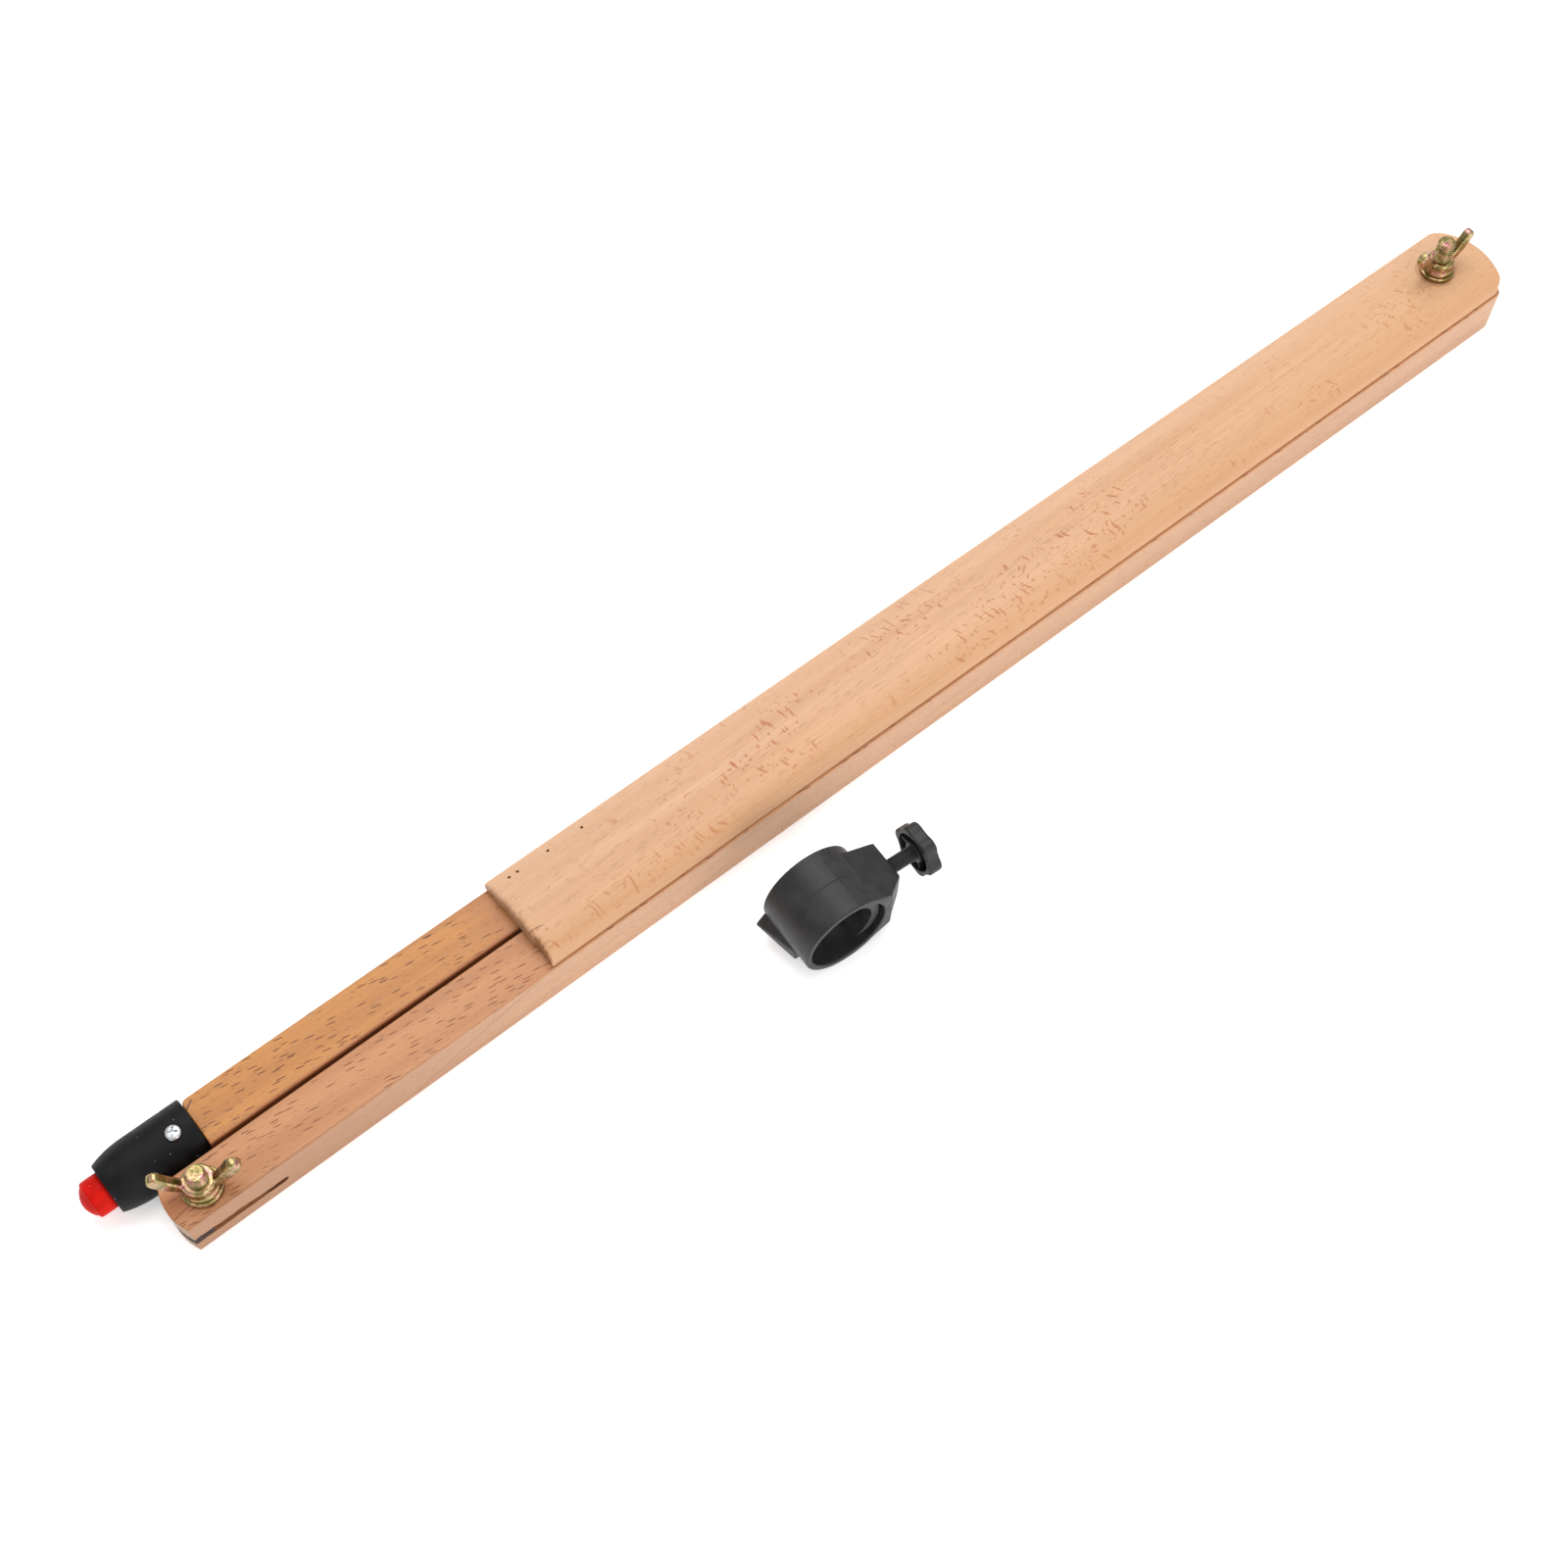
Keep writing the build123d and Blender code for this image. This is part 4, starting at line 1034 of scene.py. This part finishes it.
def washer(name, node, place, body):
    """A closed loop of (radius, height) round the bore, the rolled rim and the flat underside, spun round Z."""
    bottom, top = low(node)[2], high(node)[2]
    outer, inner = (high(node) - low(node))[0] / 2, WASHER_BORE
    roll = np.linspace(0, math.pi / 2, 5)
    rim = [(outer - RIM_ROLL * (1 - math.cos(t)), top - RIM_ROLL + RIM_ROLL * math.sin(t)) for t in roll]
    dip = [BORE_ROLL * (1 - math.sin(t)) for t in roll]
    inner_roll = [(inner + down, top - 0.12 - down) for down in dip]
    pairs = [(inner, bottom + 0.1), (inner + 0.1, bottom), (outer - 0.12, bottom), (outer, bottom + 0.12)]
    pairs += rim + [(inner + 1.2, top - 0.03)] + inner_roll
    radius, height = rows(*pairs)
    points = standing(spun(radius, height, around(96)), place)
    made = make_object(name, points, grid_faces(len(radius), 96, close_rows=True))
    return finish_piece(made, body, "yellow_zinc", yellow_zinc, node, crease=50)


washer("pivot_washer_stamped", "pivot_washer", PIVOT, "pivot_washer")
washer("clamp_washer_stamped", "clamp_washer", CLAMP, "clamp_washer")

# %% [markdown]
# ## Wing nuts
#
# A wing nut is forged hot, so every corner is round and the wings flow into the hub. Fitting two surfaces
# together so smoothly would be hard. Instead a turned hub and two thick wings are laid through each other,
# a voxel remesh fuses them into one skin, and a few smoothing passes draw the fillets. The bore is then
# drilled, as the real one is.

# %% Forge the wing nuts
NUT_TURNS = {"pivot_wing_nut": -5.0, "clamp_wing_nut": -27.0}
WING_REACH, WING_HALF_THICK, WING_EDGE = 12.2, 1.5, 0.8
NUT_BORE, VOXEL = 3.08, 0.26


def wing(side, reach, tall):
    """One wing as an outline in its own upright plane, (outward, up), drawn as a rising paddle with a round end."""
    foot = np.array([(side * 3.0, 0.7), (side * 6.1, 1.5)])
    under = arc((side * 6.1, 1.5), (side * 9.0, 4.2), (side * (reach - 0.25), 7.9), 7)
    tip = arc((side * reach, 8.6), (side * (reach - 0.65), tall - 0.55), (side * (reach - 2.3), tall - 0.1), 9)
    back = arc((side * (reach - 3.2), tall - 0.6), (side * 6.4, 7.9), (side * 4.2, 5.0), 8)
    return outline(foot, under, tip, back, np.array([(side * 2.9, 4.6)]))


def wing_nut(name, node, place, body):
    """Hub and wings fused by remesh, smoothed by moving each point toward its neighbours' mean, and drilled."""
    base, tall = low(node)[2], (high(node) - low(node))[2]
    turn = math.radians(NUT_TURNS[node])
    outward, aside = (math.cos(turn), math.sin(turn), 0), (-math.sin(turn), math.cos(turn), 0)
    origin = (place[0], place[1], base)
    hub_rows = rows((0, 0), (5.05, 0), (5.3, 0.3), (5.2, 1.2), (4.85, 1.7), (4.72, 4.4), (4.3, 5.0), (0, 5.2))
    hub = make_object(name, set_in(spun(*hub_rows, around(64)), origin, outward, aside, (0, 0, 1)), grid_faces(8, 64))
    for side in (-1, 1):
        leaf = slab("wing", wing(side, WING_REACH, tall), -WING_HALF_THICK, WING_HALF_THICK, WING_EDGE)
        move_points(leaf, lambda flat: set_in(flat, origin, outward, (0, 0, 1), (-aside[0], -aside[1], 0)))
        combine(hub, leaf, "UNION")
    fuse = hub.modifiers.new("fuse", "REMESH")
    fuse.mode = "VOXEL"
    fuse.voxel_size = VOXEL * MM
    flow = hub.modifiers.new("flow", "SMOOTH")
    flow.factor = 0.5
    flow.iterations = 3
    apply_modifiers(hub)
    carve(hub, drill(place, NUT_BORE, base - 1, base + 9))
    return finish_piece(hub, body, "yellow_zinc", yellow_zinc, node, crease=50)


wing_nut("pivot_wing_nut_forged", "pivot_wing_nut", PIVOT, "pivot_nut")
wing_nut("clamp_wing_nut_forged", "clamp_wing_nut", CLAMP, "clamp_nut")

# %% [markdown]
# ## Ferrule, rubber foot and screw
#
# These are turned shapes on one axis. The ferrule is a tube whose nose draws in over its last ten
# millimetres, with a fine line where its mould halves met beside the screw. The foot is a button with a
# domed face, pushed in by its stem. The little screw needs a cross recess, and on a fine polar grid that is
# only a lowered height wherever a point lies near one of the two arms.

# %% Turn the ferrule
NOSE = low("foot_ferrule")[0]
FERRULE_RADIUS = (high("foot_ferrule") - low("foot_ferrule"))[2] / 2
NOSE_RADIUS, TAPER_LENGTH, TAPER_CURVED = 7.7, 10.0, 9.7
SOCKET_END = MOUTH - TENON_LENGTH - 0.1
SCREW = ((low("ferrule_screw") + high("ferrule_screw")) / 2)[:2]
SCREW_TOP = high("ferrule_screw")[2]
SCREW_SEAT = SCREW_TOP - 1.6


def ferrule():
    """A closed loop: mouth rim, straight wall with the mould's line, arc taper, nose rim, bore, socket.
    The line is a groove 0.1 deep and 0.3 wide across the back half, so the radius depends on the angle."""
    angle = around(144)
    taper = np.linspace(0, 1, 22)[1:]
    drop = FERRULE_RADIUS - NOSE_RADIUS
    bulge = (TAPER_LENGTH ** 2 + drop ** 2) / (2 * drop)
    taper_x = NOSE + TAPER_LENGTH - TAPER_CURVED * taper
    taper_r = FERRULE_RADIUS - bulge + np.sqrt(bulge ** 2 - (TAPER_CURVED * taper) ** 2)
    line_x = SCREW[0] + np.linspace(0.45, -0.45, 13)
    wall_x = np.concatenate([[MOUTH - 0.45, MOUTH - 1.2, MOUTH - 3.0], line_x, [NOSE + 14, NOSE + 12, NOSE + 10]])
    rim = np.linspace(0, math.pi / 2, 6)
    x = np.concatenate([
        MOUTH - 0.45 * (1 - np.sin(rim[::-1])), wall_x, taper_x,
        [NOSE + 0.1, NOSE, NOSE, NOSE + 0.4, SOCKET_END, SOCKET_END, MOUTH - 0.4, MOUTH],
    ])
    r = np.concatenate([
        FERRULE_RADIUS - 0.45 * (1 - np.cos(rim[::-1])), np.full(len(wall_x), FERRULE_RADIUS), taper_r,
        [NOSE_RADIUS - 0.05, NOSE_RADIUS - 0.25, 4.4, 4.0, 4.0, 6.05, 6.05, 6.45],
    ])
    radius = r[:, None] + 0 * angle
    on_wall = (r > FERRULE_RADIUS - 0.01)[:, None]
    upper_back = np.clip(np.cos(angle) * 3 + 0.9, 0, 1) * np.clip(np.sin(angle) * 4 + 3, 0, 1)
    groove = 0.10 * np.exp(-(((x - SCREW[0]) / 0.14) ** 2))[:, None] * upper_back * on_wall
    return make_object("foot_ferrule_moulded", along_axis(spun(radius - groove, x[:, None], angle)),
                       grid_faces(len(x), 144, close_rows=True))


ferrule_piece = carve(
    ferrule(),
    drill(SCREW, 2.55, SCREW_SEAT, SCREW_TOP + 3, 48),
    drill(SCREW, 1.3, AXIS_Z + 2, SCREW_SEAT + 1, 24),
)
finish_piece(ferrule_piece, "foot_arm", "ferrule", ferrule_plastic, "foot_ferrule", crease=40)

# %% Turn the rubber foot
TIP_END = low("foot_tip")[0]
TIP_RADIUS = (high("foot_tip") - low("foot_tip"))[2] / 2
STEM_END = high("foot_tip")[0]


def rubber_foot():
    """Stem, shoulder, a barrel that swells by 0.1, a rounded edge, and a face that domes by two millimetres."""
    edge = np.linspace(0, math.pi / 2, 7)[1:]
    face = np.linspace(1, 0, 9)[1:]
    rim_x, rim_r = TIP_END + 2.1, TIP_RADIUS - 0.05
    body_x = np.linspace(NOSE - 0.1, rim_x + 0.9, 6)
    x = np.concatenate([[STEM_END, STEM_END, STEM_END - 0.5, NOSE], [NOSE], body_x,
                        rim_x + 0.9 - 0.9 * np.sin(edge), TIP_END + (rim_x - TIP_END) * face ** 2 * 0.93])
    barrel = rim_r + 0.05 * np.sin(np.linspace(0, math.pi, 6))
    r = np.concatenate([[0.0, 3.5, 3.9, 3.9], [rim_r - 0.15], barrel,
                        rim_r - 0.9 * (1 - np.cos(edge)), (rim_r - 0.9) * face])
    return turned_on_axis("foot_tip_rubber", r[:, None], x[:, None], 96)


finish_piece(rubber_foot(), "foot_arm", "tip", red_rubber, "foot_tip", crease=60)


# %% Strike the screw
def pan_screw():
    """Polar rows from the head's middle to its rim, its seat, and down the threaded shank to a point. The
    recess lowers a point by up to 0.95 where the smaller of |x|, |y| is under the arm's half width."""
    angle = around(144)
    head_r = np.concatenate([np.linspace(0, 1.7, 35), np.linspace(1.75, 2.36, 9)])[:, None]
    over = np.clip(head_r - 1.45, 0, None) / 0.95
    dome = SCREW_TOP - 0.10 * (head_r / 2.4) ** 2 - 0.80 * (1 - np.sqrt(np.clip(1 - over ** 2, 0, 1)))
    arms = np.abs(circle(angle + 0.5))
    along, across = arms.max(1) * head_r, arms.min(1) * head_r
    arm = np.clip((0.42 - 0.10 * along - across) / 0.09, 0, 1) * np.clip((1.50 - along) / 0.12, 0, 1)
    heart = np.clip((0.62 - head_r) / 0.2, 0, 1)
    height = dome - 0.95 * np.maximum(arm * np.clip(1.1 - 0.3 * along, 0, 1), heart)
    side = rows((2.4, SCREW_TOP - 0.85), (2.4, SCREW_SEAT + 0.05), (2.35, SCREW_SEAT), (1.2, SCREW_SEAT))
    shank = np.arange(SCREW_SEAT - 0.1, SCREW_SEAT - 8.6, -0.09)[:, None]
    shank_r = 1.2 - 0.28 * (1 - thread_ridge(shank, angle, 0.9))
    bottom = low("ferrule_screw")[2]
    point = rows((0.85, SCREW_SEAT - 8.8), (0.3, bottom + 0.3), (0, bottom + 0.02))
    points, count = spin_parts([(head_r, height), side, (shank_r, shank), point], angle)
    return make_object("ferrule_screw_cross", standing(points, SCREW), grid_faces(count, 144))


finish_piece(pan_screw(), "foot_arm", "zinc", bright_zinc, "ferrule_screw", crease=35)

# %% [markdown]
# ## The pen ring
#
# The ring is one moulding: a wall, a wedge-shaped boss for the screw and a low foot. Seen along its axis,
# each of these is a distance from the middle that depends on the angle, and the largest of them wins. So the
# outside is a radius worked out from angle and depth, and the moulding's soft corners come from blending the
# distances instead of cutting them off. Its own directions are: along the screw, up, and from front to back.

# %% The ring's own directions
RING_RADIUS = high("pen_ring")[2] / 2
RING_YAW = math.radians(-4.4)
SCREW_WAY = np.array([math.cos(RING_YAW), math.sin(RING_YAW), 0.0])
REAR_WAY = np.array([-math.sin(RING_YAW), math.cos(RING_YAW), 0.0])
RING_LENGTH, BORE, BOSS_REACH, FOOT_REACH = 22.0, 13.1, 22.6, 17.7
STUD_DEPTH = 11.3
ring_x = low("pen_ring")[0] + FOOT_REACH * SCREW_WAY[0] - RING_LENGTH * REAR_WAY[0]
ring_y = low("pen_ring")[1] - RING_RADIUS * SCREW_WAY[1]
RING_FRONT = np.array([ring_x, ring_y, RING_RADIUS])
print("ring's front face is centred at", RING_FRONT.round(2))


def beside_ring(points):
    """From the ring's own (along the screw, up, depth) to the frame."""
    return set_in(points, RING_FRONT, SCREW_WAY, (0, 0, 1), REAR_WAY)


def softest(first, second, blend):
    """The smaller of two distances, blended over a width: 0.5 (a + b - sqrt((a - b)^2 + w^2))."""
    return 0.5 * (first + second - np.sqrt((first - second) ** 2 + blend ** 2))


FLANK_NORMAL, FLANK_SIZE = (9.39, 18.6), 308.9
BOSS_BACK, BOSS_SLOPE = 18.7, 1.333
FOOT_FRONT, FOOT_NEAR_REACH, FOOT_TAPER, FOOT_DROP = 6.0, 14.8, 2.9, 8.9
TOE_NORMAL, TOE_SIZE = (-0.7456, 0.6664), 7.934


def ring_outside(angle, depth):
    """Wall, boss and foot as distances from the middle. The boss is the nearer of its sloping side, its flat
    end and the slope of its front; the foot is the nearest of its tapering side, its underside and its slope."""
    c, s = np.cos(angle), np.abs(np.sin(angle))
    toe = TOE_NORMAL[0] * c + TOE_NORMAL[1] * np.sin(angle)
    ahead, behind = np.clip(c, 0.05, 1), np.clip(-c, 0.05, 1)
    flank = FLANK_SIZE / np.clip(FLANK_NORMAL[0] * c + FLANK_NORMAL[1] * s, 0.6, None)
    nose = BOSS_REACH / ahead
    slope = (RING_RADIUS + BOSS_SLOPE * depth) / ahead
    boss = softest(softest(flank, nose, 1.0), slope, 0.5)
    boss_there = np.clip((BOSS_BACK - depth) / 0.5 + 0.5, 0, 1) * (c > 0.2)
    foot_run = RING_LENGTH - FOOT_FRONT
    sole = (FOOT_NEAR_REACH + np.clip(depth - FOOT_FRONT, 0, foot_run) * FOOT_TAPER / foot_run) / behind
    foot = softest(sole, FOOT_DROP / np.clip(s, 0.02, None), 0.35)
    foot = softest(foot, TOE_SIZE / np.clip(toe, 0.3, None), 0.35)
    foot_there = np.clip((depth - FOOT_FRONT) / 0.5 + 0.5, 0, 1) * (c < -0.5) * (np.sin(angle) < 0)
    wall = RING_RADIUS + 0 * angle + 0 * depth
    return wall + np.clip(boss - wall, 0, None) * boss_there + np.clip(foot - wall, 0, None) * foot_there


PARTING = 10.9


def pen_ring():
    """A closed loop of rows: outer wall front to back, rear rim, bore back to front, front rim. The parting
    line is a fine ridge at mid-length with a shallow groove before it, and both rims are rounded."""
    angle = around(480)
    outer = np.sort(np.concatenate([
        np.linspace(0.55, RING_LENGTH - 0.5, 74), PARTING + np.linspace(-0.28, 0.28, 9), 5.6 + np.linspace(0, 0.8, 5),
        18.2 + np.linspace(0, 1.0, 5),
    ]))[:, None]
    radius = ring_outside(angle, outer)
    line_there = np.clip(np.sin(angle + 0.15) * 4, 0, 1)
    ridge = 0.13 * np.exp(-(((outer - PARTING) / 0.12) ** 2))
    groove = 0.05 * np.exp(-(((outer - PARTING + 0.2) / 0.2) ** 2))
    radius = radius + (ridge - groove) * line_there
    front = np.linspace(math.pi / 2, 0, 5)[:, None]
    front_r = ring_outside(angle, 0.5) - 0.5 * (1 - np.cos(front))
    front_d = 0.5 - 0.5 * np.sin(front)
    rear_r = ring_outside(angle, RING_LENGTH) - 0.45 * (1 - np.cos(front[::-1]))
    rear_d = RING_LENGTH - 0.45 + 0.45 * np.sin(front[::-1])
    bore = rows(
        (BORE + 0.3, RING_LENGTH), (BORE, RING_LENGTH - 0.3), (BORE + 0.05, 16.0), (BORE, 12.0), (BORE, 6.0),
        (BORE + 0.05, 0.35), (BORE + 0.35, 0.0),
    )
    points, count = spin_parts([(front_r, front_d), (radius, outer), (rear_r, rear_d), bore], angle)
    return make_object("pen_ring_moulded", beside_ring(points), grid_faces(count, 480, close_rows=True))


def along_screw(points):
    """From the screw's own (across, up, outward) to the frame, at the screw's depth behind the front face."""
    return set_in(points, RING_FRONT + STUD_DEPTH * REAR_WAY, REAR_WAY, (0, 0, 1), SCREW_WAY)


def screw_bore(radius, start, stop):
    """A round cutter along the ring's screw."""
    pairs = rows((0, start), (radius, start), (radius, stop), (0, stop))
    return make_object("screw_bore", along_screw(spun(*pairs, around(48))), grid_faces(4, 48))


ring_piece = carve(pen_ring(), screw_bore(2.56, 8.0, 26.0))
finish_piece(ring_piece, "pen_ring", "ring", ring_plastic, "pen_ring", crease=38)

# %% The pressure pad
PAD_OUTER, PAD_INNER, PAD_HALF, PAD_LENGTH = 12.4, 9.5, 8.4, 19.0


def crescent():
    """The pad's end as an outline: the outer arc one way and the inner arc back."""
    wide, narrow = math.asin(PAD_HALF / PAD_OUTER), math.asin(PAD_HALF / PAD_INNER)
    out = np.linspace(-wide, wide, 33)
    back = np.linspace(narrow, -narrow, 29)
    return outline(PAD_OUTER * circle(out), PAD_INNER * circle(back))


pad = slab("ring_pad_moulded", crescent(), STUD_DEPTH - PAD_LENGTH / 2, STUD_DEPTH + PAD_LENGTH / 2, 0.3)
move_points(pad, beside_ring)
carve(pad, screw_bore(2.65, 10.85, 14.0))
finish_piece(pad, "ring_pad", "ring", ring_plastic, "ring_pad", crease=38)

# %% The knob and its screw
STUD_TIP, KNOB_NEAR, KNOB_FAR, POCKET = 11.0, 31.8, 36.4, 3.2
KNOB_CORE, LOBE_RING, LOBE_RADIUS = 8.0, 6.1, 3.0


def knob_outline(angle):
    """Distance to the knob's edge: the farther of a round core and six lobes, blended where they meet."""
    turn = (angle + math.pi / 6) % (math.pi / 3) - math.pi / 6
    inside = LOBE_RADIUS ** 2 - (LOBE_RING * np.sin(turn)) ** 2
    lobe = LOBE_RING * np.cos(turn) + np.sqrt(np.clip(inside, 0.01, None))
    return -softest(-lobe, -KNOB_CORE + 0 * angle, 0.5) - 0.12


def ring_screw():
    """From the stud's tip along its thread to the hub, into the hollow with three ribs, out to the lobed rim,
    round both of its edges and back to the middle of the far face: one surface with a pole at each end."""
    angle = around(240)
    stud = np.arange(STUD_TIP + 0.3, KNOB_NEAR - 0.05, 0.8 / 9)[:, None]
    start = np.clip((stud - STUD_TIP) / 0.5, 0.6, 1)
    stud_r = (2.5 - 0.36 * (1 - thread_ridge(stud, angle, 0.8))) * start
    third = (angle + math.pi / 3) % (math.tau / 3) - math.pi / 3
    pocket_r = np.linspace(3.75, 6.5, 9)[:, None]
    rib = np.clip((0.55 - np.abs(third) * pocket_r) / 0.14, 0, 1)
    floor_s = KNOB_NEAR + POCKET - (POCKET - 0.7) * rib
    t = np.linspace(0, math.pi / 2, 6)[:, None]
    near_r = knob_outline(angle) - 0.6 * (1 - np.sin(t))
    near_s = KNOB_NEAR + 0.6 * (1 - np.cos(t))
    far_r = knob_outline(angle) - 0.9 * (1 - np.cos(t))
    far_s = KNOB_FAR - 0.9 * (1 - np.sin(t))
    face = np.linspace(0.85, 0, 7)[:, None]
    pocket_deep = KNOB_NEAR + POCKET
    points, count = spin_parts([
        rows((0, STUD_TIP), (1.4, STUD_TIP)), (stud_r, stud),
        rows((2.4, KNOB_NEAR), (3.3, KNOB_NEAR), (3.6, KNOB_NEAR + 0.3), (3.62, pocket_deep - 0.1)),
        (pocket_r, floor_s),
        rows((6.66, pocket_deep - 0.2), (6.68, KNOB_NEAR + 0.2), (6.85, KNOB_NEAR)),
        (near_r, near_s), (far_r, far_s),
        ((knob_outline(angle) - 0.9) * face, KNOB_FAR - 0.12 * (1 - face ** 2)),
    ], angle)
    return make_object("ring_screw_knob", along_screw(points), grid_faces(count, 240))


finish_piece(ring_screw(), "ring_screw", "ring", ring_plastic, "ring_screw", crease=38)
